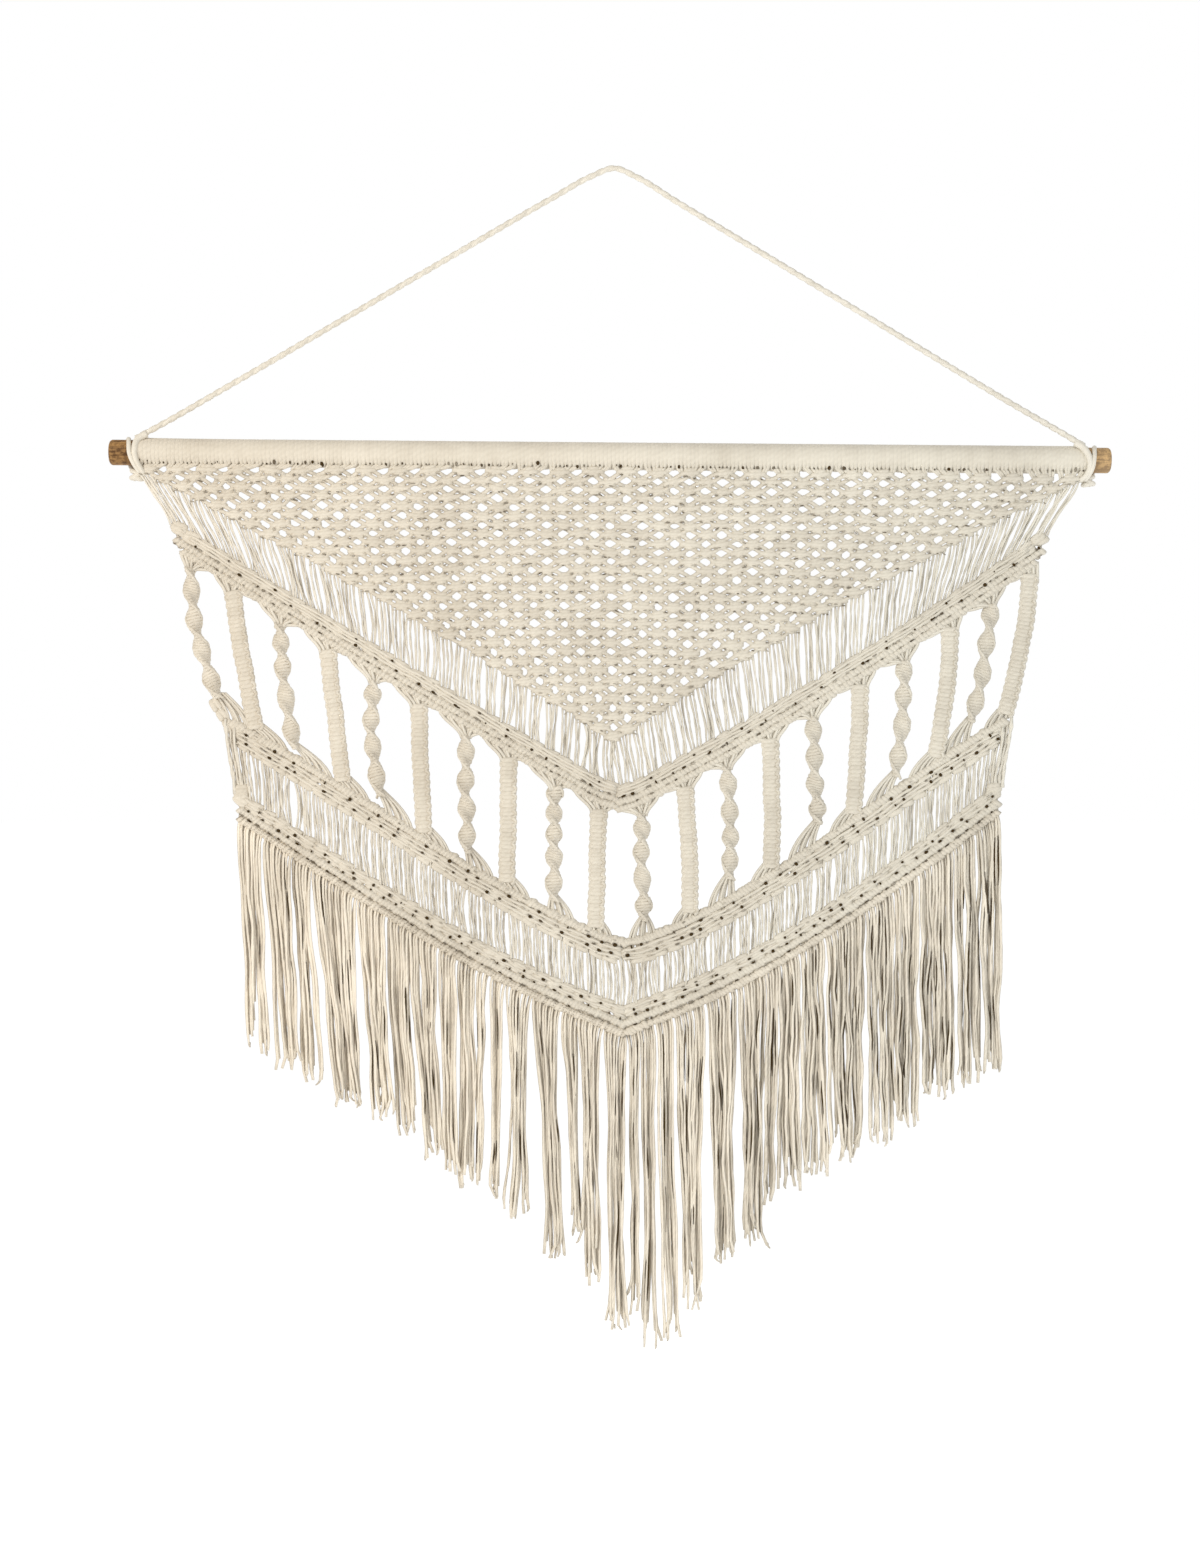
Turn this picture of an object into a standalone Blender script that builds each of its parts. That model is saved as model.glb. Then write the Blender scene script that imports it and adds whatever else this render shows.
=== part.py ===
"""Macrame wall hanging: a knotted cotton panel on a wooden dowel, hung by a twisted cord.

X runs along the dowel, Y from the viewer to the wall and Z up. The origin is where the cord's
peak rests on its hook. Sizes are in millimetres and turned into metres as each mesh is made.
The panel is one fused solid: heading, net, ladders of free strands, three slanting bands and
twenty knotted braids. Its fringe hangs from a ridge of its own under the lowest band.
"""

import math
from collections import namedtuple

import bmesh
import bpy
from mathutils import Matrix, Vector

MM = 0.001
CLEAR = 0.35  # between pieces that touch
FLATNESS = 0.02  # how far from flat a face of four corners may be

# Dowel and heading
DOWEL_RADIUS = 12.7
DOWEL_SIDES = 24
DOWEL_EDGE = 3.5  # rounding at its ends
DOWEL_START = Vector((-504.0, 0.0, -280.9))
DOWEL_END = Vector((496.0, 0.0, -289.1))
HEADING_START, HEADING_END = -476.5, 472.0
HEADING_RADIUS, HEADING_GROOVE = 16.2, 0.7
HEADING_RIDGES = 24
HEADING_SIDES = 10

# Net of square knots: a triangle that loses one knot a row, at a coarser pitch than the real one
NET_ROWS = 15
NET_LEFT = (-468.0, -298.0)  # x, z of the triangle's corners
NET_RIGHT = (461.0, -305.5)
NET_APEX = (3.0, -570.0)
NET_OVERLAP = 0.22  # rows that reach up into the heading
GAP_ACROSS, GAP_DOWN = 0.13, 0.38  # half sizes of a gap, in pitches and in rows
NET_RIM, NET_KNOT = 2.4, 5.2  # half thicknesses at a gap's rim and on a knot

# Free strands, each of them standing for two or three of the real ones
STRAND_HALF_WIDTH, STRAND_HALF_DEPTH = 4.2, 1.9
EDGE_HALF_WIDTH = 3.0  # of the leaning strands at the net's two ends
LOWER_STRANDS = 46
LADDER_GAP = 5.0  # strands and braids end this far from a band's middle line
LADDER_MARGIN = 4.0  # and keep this far from a band's ends
SWAY = 1.0  # how far the lower strands stray sideways

# Twenty braids, twisted and flat by turns
BRAID_HALF_DEPTH = 4.2
FLAT_HALF_WIDTH = 8.6
TWIST_HALF_WIDTH = 8.0
TWIST_LENGTH = 23.0  # of one half turn
TWIST_STEPS = 3  # rings for each half turn
TWIST_SECTION = [(-1, -0.8), (1, -0.8), (1, 0.8), (-1, 0.8)]  # shares of half width and depth
FLAT_RINGS = 7
FLAT_SECTION = [(-1, 0), (-0.6, -1), (0.6, -1), (1, 0), (0.6, 1), (-0.6, 1)]
FLARE = 0.75  # how much wider a braid is at its top
FLARE_HALF_DEPTH = 2.3
FLARE_LENGTH = 17.0
FLARE_SHIFT = 5.0

# Fringe
RIDGE_HALF_HEIGHT, RIDGE_HALF_DEPTH = 4.6, 5.2
RIDGE_DROP = 14.2  # from the lowest band's middle line to the fringe ridge's
FRINGE_PITCH = 6.9
FRINGE_HALF_WIDTH, FRINGE_HALF_DEPTH = 2.4, 1.6
FRINGE_LAYER = 2.2  # strands lie by turns this far before and behind the panel's plane

# Hanging cord
CORD_RADIUS = 3.3
CORD_STEPS = 58
CORD_FORWARD = (7.0, 10.0)  # how far its left and its right end are before the dowel's axis
CORD_GAP = 0.3  # between the cord and its tied ends
HITCH_RADIUS = 2.0
HITCH_LEAD = 2.0  # straight on from the cord's end
HITCH_KNOT = Vector((7.0, 6.0, 6.0))  # half sizes
HITCH_KNOT_PLACE = (0.5, 1.0, -24.0)  # outwards from the heading's end, and from the dowel's axis

Node = namedtuple("Node", "x z")
Band = namedtuple("Band", "left right half_height lean profile")
Profile = namedtuple("Profile", "height depth bump")
Braid = namedtuple("Braid", "top_x middle_x bottom_x foot_flare")
Lock = namedtuple("Lock", "root_end tip_start tip_end tip_z")
Turn = namedtuple("Turn", "angle outwards radius")

# The cord's route, from its left end over the hook to its right end
CORD_ROUTE = [
    Node(-467, -262.4),
    Node(-379, -212.2),
    Node(-260, -142.5),
    Node(-140, -72.3),
    Node(-60, -25.8),
    Node(-22, -4.6),
    Node(0, 3.3),
    Node(22, -5.4),
    Node(60, -28.9),
    Node(150, -83.6),
    Node(270, -156.6),
    Node(386, -227.3),
    Node(461, -271.4),
]

# The cord's end splits in two: one half crosses the front of the heading's end, and the other
# goes round the bare dowel beside it. Round the dowel's axis 0 is the back, 90 the top and 180
# the front, and outwards is from the heading's end.
HITCH_FRONT = [
    Turn(134, -1.5, 19.2),
    Turn(158, 1.5, 18.8),
    Turn(182, 3.6, 18.8),
    Turn(206, 4.0, 18.8),
    Turn(232, 2.6, 18.9),
    Turn(258, 1.0, 21.5),
]
HITCH_LOOP = [
    Turn(-78, 2.6, 21.0),
    Turn(-58, 2.8, 17.6),
    Turn(-34, 3.2, 15.5),
    Turn(-8, 4.5, 15.4),
    Turn(18, 6.0, 15.4),
    Turn(44, 7.8, 15.4),
    Turn(70, 9.4, 15.4),
    Turn(96, 10.6, 15.4),
    Turn(122, 11.2, 15.4),
    Turn(148, 11.2, 15.4),
    Turn(174, 10.6, 15.4),
    Turn(200, 9.4, 15.5),
    Turn(224, 7.6, 16.0),
    Turn(246, 5.4, 18.5),
    Turn(262, 3.6, 21.5),
]

# Height and half depth across a band, from its lower edge (-1) to its upper edge (1). The bump
# is what a small knot adds at every other ring.
RIDGES_AND_KNOTS = [
    Profile(-1.0, 2.7, 0.0),
    Profile(-0.72, 5.4, 0.0),
    Profile(-0.42, 3.2, 0.0),
    Profile(-0.12, 5.4, 0.0),
    Profile(0.14, 3.2, 0.0),
    Profile(0.55, 3.8, 2.2),
    Profile(1.0, 2.7, 0.0),
]
RIDGE_AND_KNOTS = [
    Profile(-1.0, 2.7, 0.0),
    Profile(-0.45, 3.6, 2.0),
    Profile(0.1, 3.2, 0.0),
    Profile(0.55, 5.4, 0.0),
    Profile(1.0, 2.7, 0.0),
]
ARM_RINGS = 12  # for each of a band's two arms

UPPER_BAND = Band(
    [Node(-439, -368.5), Node(-314, -442.5), Node(-177, -518.5), Node(3, -628.5)],
    [Node(3, -628.5), Node(141, -550.5), Node(271, -469.5), Node(398, -390.5), Node(431, -381)],
    17.5,
    0.45,
    RIDGES_AND_KNOTS,
)
MIDDLE_BAND = Band(
    [Node(-384, -563), Node(-289, -615), Node(-206, -666), Node(-121, -717), Node(8, -781)],
    [Node(8, -781), Node(91, -750), Node(183, -701), Node(291, -627), Node(394, -562)],
    12.5,
    0.25,
    RIDGE_AND_KNOTS,
)
LOWER_BAND = Band(
    [Node(-381, -624), Node(-314, -668.5), Node(-234, -719.5), Node(-134, -776), Node(11, -845)],
    [Node(11, -845), Node(86, -810), Node(166, -778.5), Node(246, -723.5), Node(387, -621)],
    9.2,
    0.0,
    RIDGE_AND_KNOTS,
)

# Where each braid's middle line runs, from the upper band to the middle one, and how much wider
# the braid is at its foot
BRAIDS = [
    Braid(-423, -415, -386, 0.2),
    Braid(-381, -371, -358, 0.75),
    Braid(-333, -330, -314, 0.75),
    Braid(-286, -279, -271, 0.75),
    Braid(-240, -242, -232, 0.75),
    Braid(-195, -193, -190, 0.75),
    Braid(-148, -148, -146, 0.75),
    Braid(-105, -106, -107, 0.75),
    Braid(-59, -60, -60, 0.75),
    Braid(-15, -17, -18, 0.75),
    Braid(28, 28, 31, 0.75),
    Braid(71, 75, 76, 0.75),
    Braid(113, 116, 115, 0.75),
    Braid(156, 158, 157, 0.75),
    Braid(199, 201, 205, 0.75),
    Braid(246, 244, 239, 0.75),
    Braid(290, 288, 281, 0.75),
    Braid(336, 332, 321, 0.75),
    Braid(377, 370, 357, 0.75),
    Braid(418, 411, 392, 0.2),
]

# The fringe hangs in locks: where each one's root ends, and where its tip starts, ends and stops
FRINGE_START = -377.0
LOCKS = [
    Lock(-352, -366, -343, -884),
    Lock(-324, -334, -313, -901),
    Lock(-302, -312, -285, -910),
    Lock(-259, -274, -251, -932),
    Lock(-229, -239, -219, -946),
    Lock(-206, -216, -196, -964),
    Lock(-176, -189, -173, -986),
    Lock(-156, -171, -155, -1004),
    Lock(-126, -152, -129, -1015),
    Lock(-108, -125, -113, -1024),
    Lock(-82, -110, -82, -1045),
    Lock(-53, -68, -47, -1087),
    Lock(-38, -42, -31, -1064),
    Lock(-12, -30, -10, -1114),
    Lock(14, -9, 15, -1155),
    Lock(27, 17, 26, -1142),
    Lock(42, 27, 46, -1174),
    Lock(61, 48, 66, -1171),
    Lock(94, 69, 89, -1142),
    Lock(124, 104, 119, -1090),
    Lock(151, 130, 144, -1074),
    Lock(166, 149, 162, -1034),
    Lock(186, 166, 186, -1020),
    Lock(211, 188, 214, -1004),
    Lock(251, 216, 249, -988),
    Lock(281, 254, 281, -973),
    Lock(306, 282, 304, -953),
    Lock(341, 308, 340, -926),
    Lock(361, 343, 364, -915),
    Lock(386, 366, 386, -899),
]


def smooth(table, x):
    """The height of a smooth curve through a table of nodes that ascend in x."""
    last = len(table) - 1
    slopes = [(b.z - a.z) / (b.x - a.x) for a, b in zip(table, table[1:])]
    grades = [slopes[0], *[(a + b) / 2 for a, b in zip(slopes, slopes[1:])], slopes[-1]]
    i = max(0, min(last - 1, sum(1 for node in table[1:] if node.x < x)))
    width = table[i + 1].x - table[i].x
    t = (x - table[i].x) / width
    if not 0 <= t <= 1:
        end = table[0] if t < 0 else table[last]
        return end.z + (x - end.x) * (grades[0] if t < 0 else grades[last])
    start = (1 + 2 * t) * (1 - t) ** 2 * table[i].z + t * (1 - t) ** 2 * width * grades[i]
    end = t * t * (3 - 2 * t) * table[i + 1].z - t * t * (1 - t) * width * grades[i + 1]
    return start + end


def band_height(band, x):
    """The height of a band's middle line: an arm on each side of its lowest point."""
    return smooth(band.left if x < band.right[0].x else band.right, x)


def band_slope(band, x):
    step = 4.0
    return (band_height(band, x + step) - band_height(band, x - step)) / (2 * step)


def mix(a, b, share):
    return a + (b - a) * share


def band_places(band):
    """Where a band has its rings, with one at its lowest point."""
    start, low, end = band.left[0].x, band.right[0].x, band.right[-1].x
    left = [mix(start, low, i / ARM_RINGS) for i in range(ARM_RINGS)]
    return left + [mix(low, end, i / ARM_RINGS) for i in range(ARM_RINGS + 1)]


def flat(face):
    """Whether a face of four corners lies in one plane, near enough for a Boolean."""
    a, b, c, d = [vert.co for vert in face.verts]
    return abs((b - a).cross(c - a).normalized().dot(d - a)) < FLATNESS * MM


def mesh_object(name, points, faces, shown=True):
    """An object from points in millimetres. A guide that only feeds a Boolean isn't shown."""
    mesh = bpy.data.meshes.new(name)
    mesh.from_pydata([Vector(p) * MM for p in points], [], faces)
    shaped = bmesh.new()
    shaped.from_mesh(mesh)
    bent = [face for face in shaped.faces if len(face.verts) == 4 and not flat(face)]
    bmesh.ops.triangulate(shaped, faces=bent, quad_method="SHORT_EDGE")
    bmesh.ops.recalc_face_normals(shaped, faces=shaped.faces)
    shaped.to_mesh(mesh)
    shaped.free()
    thing = bpy.data.objects.new(name, mesh)
    bpy.context.scene.collection.objects.link(thing)
    if not shown:
        thing.hide_render = True
        thing.display_type = "WIRE"
    return thing


class Solids:
    """Points and faces of several closed bodies that don't touch each other."""

    def __init__(self):
        self.points = []
        self.faces = []

    def loft(self, rings):
        """A closed body through rings of as many points each, capped at both ends."""
        first, count = len(self.points), len(rings[0])
        for ring in rings:
            self.points.extend(ring)
        for i in range(len(rings) - 1):
            a, b = first + i * count, first + (i + 1) * count
            for k in range(count):
                n = (k + 1) % count
                self.faces.append((a + k, a + n, b + n, b + k))
        self.faces.append(tuple(first + k for k in reversed(range(count))))
        last = first + (len(rings) - 1) * count
        self.faces.append(tuple(last + k for k in range(count)))

    def made(self, name, shown=True):
        return mesh_object(name, self.points, self.faces, shown)


def boolean(thing, other, operation):
    modifier = thing.modifiers.new(f"{operation.lower()}_{other.name}", "BOOLEAN")
    modifier.operation = operation
    modifier.object = other
    modifier.solver = "EXACT"


def material(name, colour, roughness):
    made = bpy.data.materials.new(name)
    made.use_nodes = True
    shader = made.node_tree.nodes["Principled BSDF"]
    shader.inputs["Base Color"].default_value = (*colour, 1.0)
    shader.inputs["Roughness"].default_value = roughness
    shader.inputs["Metallic"].default_value = 0.0
    return made


def along_dowel(x):
    """The point of the dowel's axis at x."""
    share = (x - DOWEL_START.x) / (DOWEL_END.x - DOWEL_START.x)
    return DOWEL_START.lerp(DOWEL_END, share)


def circle(centre, radius, sides):
    """A ring of points round the dowel's axis, with a flat side below."""
    turns = [2 * math.pi * (k + 0.5) / sides for k in range(sides)]
    return [centre + radius * Vector((0, math.cos(t), math.sin(t))) for t in turns]


def dowel():
    """A round rod whose ends are rounded in two steps."""
    length = DOWEL_END.x - DOWEL_START.x
    steps = [(0.0, 1.0), (0.3, 0.25), (1.0, 0.0)]  # shares of DOWEL_EDGE: along, and off the radius
    near = [(along * DOWEL_EDGE, drop * DOWEL_EDGE) for along, drop in steps]
    places = near + [(length - along, drop) for along, drop in reversed(near)]
    rings = []
    for along, drop in places:
        rings.append(circle(along_dowel(DOWEL_START.x + along), DOWEL_RADIUS - drop, DOWEL_SIDES))
    solids = Solids()
    solids.loft(rings)
    return solids.made("dowel")


def heading():
    """The row of cord loops on the dowel: a sleeve with a ridge for each eight strands."""
    solids = Solids()
    rings = []
    for i in range(2 * HEADING_RIDGES + 1):
        x = mix(HEADING_START, HEADING_END, i / (2 * HEADING_RIDGES))
        radius = HEADING_RADIUS - (HEADING_GROOVE if i % 2 == 0 else 0.0)
        rings.append(circle(along_dowel(x), radius, HEADING_SIDES))
    solids.loft(rings)
    return solids.made("heading_shape", shown=False)


def bore():
    solids = Solids()
    ends = [along_dowel(HEADING_START - 5), along_dowel(HEADING_END + 5)]
    solids.loft([circle(c, DOWEL_RADIUS + CLEAR, DOWEL_SIDES) for c in ends])
    return solids.made("heading_bore", shown=False)


def net_place(across, down):
    """A place in the net: across in pitches from its left corner, down in rows."""
    share = down / NET_ROWS
    top_x = mix(NET_LEFT[0], NET_RIGHT[0], across / NET_ROWS)
    top_z = mix(NET_LEFT[1], NET_RIGHT[1], across / NET_ROWS)
    middle = ((NET_LEFT[0] + NET_RIGHT[0]) / 2, (NET_LEFT[1] + NET_RIGHT[1]) / 2)
    x = top_x + (NET_APEX[0] - middle[0]) * share
    return x, top_z + (NET_APEX[1] - middle[1]) * share


def net():
    """Knots in a triangle, joined by slanting legs, with a diamond gap between neighbours.

    Each row has one knot fewer than the one above. A gap is named by its row and by the knot
    on its left; the gap -1 and the last one are outside, and only their inner corners are used.
    """
    places, index = [], {}

    def vertex(key, across, down, half):
        if key not in index:
            index[key] = len(places)
            places.append((*net_place(across, down), half))
        return index[key]

    def corner(row, left, side):
        steps = {"L": (-1, 0), "R": (1, 0), "T": (0, -1), "B": (0, 1)}
        dx, dz = steps[side]
        across = row / 2 + left + 1 + dx * GAP_ACROSS
        return vertex((row, left, side), across, row + 0.5 + dz * GAP_DOWN, NET_RIM)

    def rim(across):
        return vertex(("top", across), across, -NET_OVERLAP, NET_RIM)

    front = []
    for row in range(NET_ROWS):
        for i in range(NET_ROWS - row):
            across = row / 2 + i + 0.5
            middle = vertex(("knot", row, i), across, row + 0.5, NET_KNOT)
            above = corner(row - 1, i, "B") if row else rim(across)
            below = corner(row + 1, i - 1, "T")
            left, right = corner(row, i - 1, "R"), corner(row, i, "L")
            loop = [left, above, right, below]
            front += [(a, b, middle) for a, b in zip(loop, loop[1:] + loop[:1])]
            if row:  # legs up to the two knots above
                front.append((left, corner(row, i - 1, "T"), corner(row - 1, i, "L"), above))
                front.append((above, corner(row - 1, i, "R"), corner(row, i, "T"), right))
            elif i < NET_ROWS - 1:  # up into the heading, beside the gap
                between, top = rim(i + 1.0), corner(row, i, "T")
                front.append((above, between, top, right))
                front.append((between, rim(across + 1.0), corner(row, i, "R"), top))
    count = len(places)
    points = [(x, -half, z) for x, z, half in places] + [(x, half, z) for x, z, half in places]
    faces = list(front) + [tuple(count + k for k in reversed(face)) for face in front]
    edges = [(a, b) for face in front for a, b in zip(face, face[1:] + face[:1])]
    outline = set(edges) - {(b, a) for a, b in edges}
    faces += [(b, a, count + a, count + b) for a, b in sorted(outline)]
    return mesh_object("macrame_panel", points, faces)


def band_rings(band):
    """Rings of a band's ridged section, cut upright, with ends that lean as the sides do."""
    start, end = band.left[0].x, band.right[-1].x
    made = []
    for i, x in enumerate(band_places(band)):
        side = -1 if x < band.right[0].x else 1
        to_end = min(x - start, end - x)
        lean = side * band.lean * max(0.0, 1 - to_end / (3 * band.half_height))
        middle = band_height(band, x)
        ring = []
        for face in (-1, 1):
            rows = band.profile if face < 0 else reversed(band.profile)
            for row in rows:
                high = row.height * band.half_height
                deep = row.depth + (row.bump if i % 2 else 0.0)
                ring.append(Vector((x + lean * high, face * deep, middle + high)))
        made.append(ring)
    return made


def bands():
    solids = Solids()
    for band in (UPPER_BAND, MIDDLE_BAND, LOWER_BAND):
        solids.loft(band_rings(band))
    return solids.made("bands_shape", shown=False)


def bar(places, half_width, half_depth, layer=0.0):
    """Rings of a strand of four sides through places given as x and z."""
    corners = [(-half_width, 0), (0, -half_depth), (half_width, 0), (0, half_depth)]
    return [[Vector((x + dx, layer + dy, z)) for dx, dy in corners] for x, z in places]


def upper_strands(solids):
    """Two strands a row on each side, from the net's slanting edge down to the upper band."""
    starts = ((0.17, 0.5), (0.41, 0.72))  # pitches and rows into the knot at the net's edge
    ends = ((-1, UPPER_BAND.left[0].x), (1, UPPER_BAND.right[-1].x))
    for side, end in ends:
        outer, inner = end - side * LADDER_MARGIN, UPPER_BAND.right[0].x
        for row in range(NET_ROWS):
            for number, (across, down) in enumerate(starts):
                place = row / 2 + across
                top = net_place(place if side < 0 else NET_ROWS - place, row + down)
                share = (2 * row + number + 0.5) / (2 * NET_ROWS)
                x = mix(outer, inner, share)
                bottom = (x, band_height(UPPER_BAND, x) + LADDER_GAP)
                wide = mix(EDGE_HALF_WIDTH, STRAND_HALF_WIDTH, min(1.0, 2.5 * share))
                solids.loft(bar([top, bottom], wide, STRAND_HALF_DEPTH))


def lower_strands(solids):
    start = MIDDLE_BAND.left[0].x + LADDER_MARGIN
    end = MIDDLE_BAND.right[-1].x - LADDER_MARGIN
    for i in range(LOWER_STRANDS):
        x = mix(start, end, (i + 0.5) / LOWER_STRANDS)
        foot = x + SWAY * math.sin(2.1 * i)
        top = (x, band_height(MIDDLE_BAND, x) - LADDER_GAP)
        bottom = (foot, band_height(LOWER_BAND, foot) + LADDER_GAP)
        solids.loft(bar([top, bottom], STRAND_HALF_WIDTH, STRAND_HALF_DEPTH))


def braid_steps(length, twisted):
    """How far down each ring of a braid is, and how far the braid has turned there."""
    if not twisted:
        return [(length * i / FLAT_RINGS, 0.0) for i in range(FLAT_RINGS + 1)]
    twisting = length - 2 * FLARE_LENGTH
    half_turns = round(twisting / TWIST_LENGTH)
    rings = half_turns * TWIST_STEPS
    turns = [i / rings for i in range(rings + 1)]
    steps = [(FLARE_LENGTH + twisting * t, math.pi * half_turns * t) for t in turns]
    return [(0.0, 0.0), *steps, (length, steps[-1][1])]


def braid(solids, row, twisted):
    """A braid between the upper and the middle band. It flares where its strands fan out."""
    top = band_height(UPPER_BAND, row.top_x) - LADDER_GAP
    bottom = band_height(MIDDLE_BAND, row.bottom_x) + LADDER_GAP
    length = top - bottom
    side = -1 if row.top_x < UPPER_BAND.right[0].x else 1
    slopes = (band_slope(UPPER_BAND, row.top_x), band_slope(MIDDLE_BAND, row.bottom_x))
    half_width = TWIST_HALF_WIDTH if twisted else FLAT_HALF_WIDTH
    control = 2 * row.middle_x - (row.top_x + row.bottom_x) / 2  # of a curve through middle_x
    made = []
    for i, (down, turn) in enumerate(braid_steps(length, twisted)):
        share = down / length
        near_top = max(0.0, 1 - down / FLARE_LENGTH)
        near_bottom = max(0.0, 1 - (length - down) / FLARE_LENGTH)
        slope = slopes[0] * near_top + slopes[1] * near_bottom
        x = (1 - share) ** 2 * row.top_x + share**2 * row.bottom_x
        x += 2 * share * (1 - share) * control + side * FLARE_SHIFT * (near_top - near_bottom)
        wide = half_width * (1 + FLARE * near_top + row.foot_flare * near_bottom)
        wide *= 1.0 if twisted else 1.0 + 0.05 * (-1) ** i
        thick = mix(BRAID_HALF_DEPTH, FLARE_HALF_DEPTH, max(near_top, near_bottom))
        ring = []
        for dx, dy in TWIST_SECTION if twisted else FLAT_SECTION:
            a, b = dx * wide, dy * thick
            across = a * math.cos(turn) - b * math.sin(turn)
            deep = a * math.sin(turn) + b * math.cos(turn)
            ring.append(Vector((x + across, deep, top - down + slope * across)))
        made.append(ring)
    solids.loft(made)


def strands_and_braids():
    solids = Solids()
    upper_strands(solids)
    lower_strands(solids)
    for i, row in enumerate(BRAIDS):
        braid(solids, row, twisted=i % 2 == 0)
    return solids.made("strands_shape", shown=False)


def ridge_height(x):
    return band_height(LOWER_BAND, x) - RIDGE_DROP


def fringe_ridge():
    """The lowest ridge of knots, from which the fringe hangs."""
    solids = Solids()
    shape = [(-1, 0), (-0.55, -1), (0.55, -1), (1, 0), (0.55, 1), (-0.55, 1)]
    rings = []
    for x in band_places(LOWER_BAND):
        middle = ridge_height(x)
        corners = [(dy * RIDGE_HALF_DEPTH, middle + dz * RIDGE_HALF_HEIGHT) for dz, dy in shape]
        rings.append([Vector((x, y, z)) for y, z in corners])
    solids.loft(rings)
    return solids.made("fringe")


def fringe_strands():
    """Strands in locks that draw together below, by turns before and behind one another."""
    solids = Solids()
    start, number = FRINGE_START, 0
    for lock in LOCKS:
        count = max(2, round((lock.root_end - start) / FRINGE_PITCH))
        for i in range(count):
            share = (i + 0.5) / count
            root_x = mix(start, lock.root_end, share)
            tip_x = mix(lock.tip_start + 2, lock.tip_end - 2, share)
            tip_z = lock.tip_z + 9 * math.sin(1.9 * number) * math.cos(0.7 * number)
            root_z = ridge_height(root_x)
            layer = FRINGE_LAYER * (-1 if number % 2 else 1)
            places = [(root_x, root_z)]
            for down, drawn in ((0.4, 0.62), (1.0, 1.0)):
                places.append((mix(root_x, tip_x, drawn), mix(root_z, tip_z, down)))
            solids.loft(bar(places, FRINGE_HALF_WIDTH, FRINGE_HALF_DEPTH, layer))
            number += 1
        start = lock.root_end
    return solids.made("fringe_strands_shape", shown=False)


def cord_places():
    """The hanging cord's middle line, read from a smooth curve through its route."""
    left, right = CORD_ROUTE[0].x, CORD_ROUTE[-1].x
    places = []
    for i in range(CORD_STEPS + 1):
        x = mix(left, right, i / CORD_STEPS)
        share, forward = (x / left, CORD_FORWARD[0]) if x < 0 else (x / right, CORD_FORWARD[1])
        places.append(Vector((x, -forward * share, smooth(CORD_ROUTE, x))))
    return places


def hanging_cord():
    curve = bpy.data.curves.new("hanger_cord", "CURVE")
    curve.dimensions = "3D"
    curve.bevel_depth = CORD_RADIUS * MM
    curve.bevel_resolution = 2
    curve.use_fill_caps = True
    places = cord_places()
    spline = curve.splines.new("POLY")
    spline.points.add(len(places) - 1)
    for point, place in zip(spline.points, places):
        point.co = (*(place * MM), 1.0)
    thing = bpy.data.objects.new("hanger_cord", curve)
    bpy.context.scene.collection.objects.link(thing)
    return thing


def tube(places, radius, sides=6):
    """Rings of a round strand along its places, each ring square to the path."""
    rings = []
    last = len(places) - 1
    across = None
    for i, place in enumerate(places):
        tangent = (places[min(i + 1, last)] - places[max(i - 1, 0)]).normalized()
        start = Vector((0, 0, 1)) if across is None else across
        across = (start - tangent * start.dot(tangent)).normalized()
        other = tangent.cross(across)
        turns = [2 * math.pi * k / sides for k in range(sides)]
        rings.append([place + radius * (math.cos(t) * across + math.sin(t) * other) for t in turns])
    return rings


def guide(name, rings):
    solids = Solids()
    solids.loft(rings)
    return solids.made(name, shown=False)


def hitch(name, side):
    """The cord's end: one half over the heading's end, one round the dowel, and their knot."""
    heading_end = HEADING_START if side < 0 else HEADING_END

    def place(turn):
        angle = math.radians(turn.angle)
        out = Vector((0, math.cos(angle), math.sin(angle)))
        return along_dowel(heading_end + side * turn.outwards) + turn.radius * out

    cord = cord_places()
    foot, before = (cord[0], cord[1]) if side < 0 else (cord[-1], cord[-2])
    ahead = (foot - before).normalized()
    front = [foot + ahead * CORD_GAP, foot + ahead * (CORD_GAP + HITCH_LEAD)]
    front += [place(turn) for turn in HITCH_FRONT]
    solids = Solids()
    solids.loft(tube(front, HITCH_RADIUS))
    thing = solids.made(name)
    loop = guide(f"{name}_loop_shape", tube([place(turn) for turn in HITCH_LOOP], HITCH_RADIUS))
    boolean(thing, loop, "UNION")
    outwards, back, down = HITCH_KNOT_PLACE
    centre = along_dowel(heading_end + side * outwards) + Vector((0, back, down))
    knot = bpy.data.meshes.new(f"{name}_knot_shape")
    shaped = bmesh.new()
    bmesh.ops.create_icosphere(shaped, subdivisions=2, radius=1.0)
    shaped.transform(Matrix.Translation(centre * MM) @ Matrix.Diagonal((*(HITCH_KNOT * MM), 1)))
    shaped.to_mesh(knot)
    shaped.free()
    ball = bpy.data.objects.new(f"{name}_knot_shape", knot)
    bpy.context.scene.collection.objects.link(ball)
    ball.hide_render = True
    ball.display_type = "WIRE"
    boolean(thing, ball, "UNION")
    return thing


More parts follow.
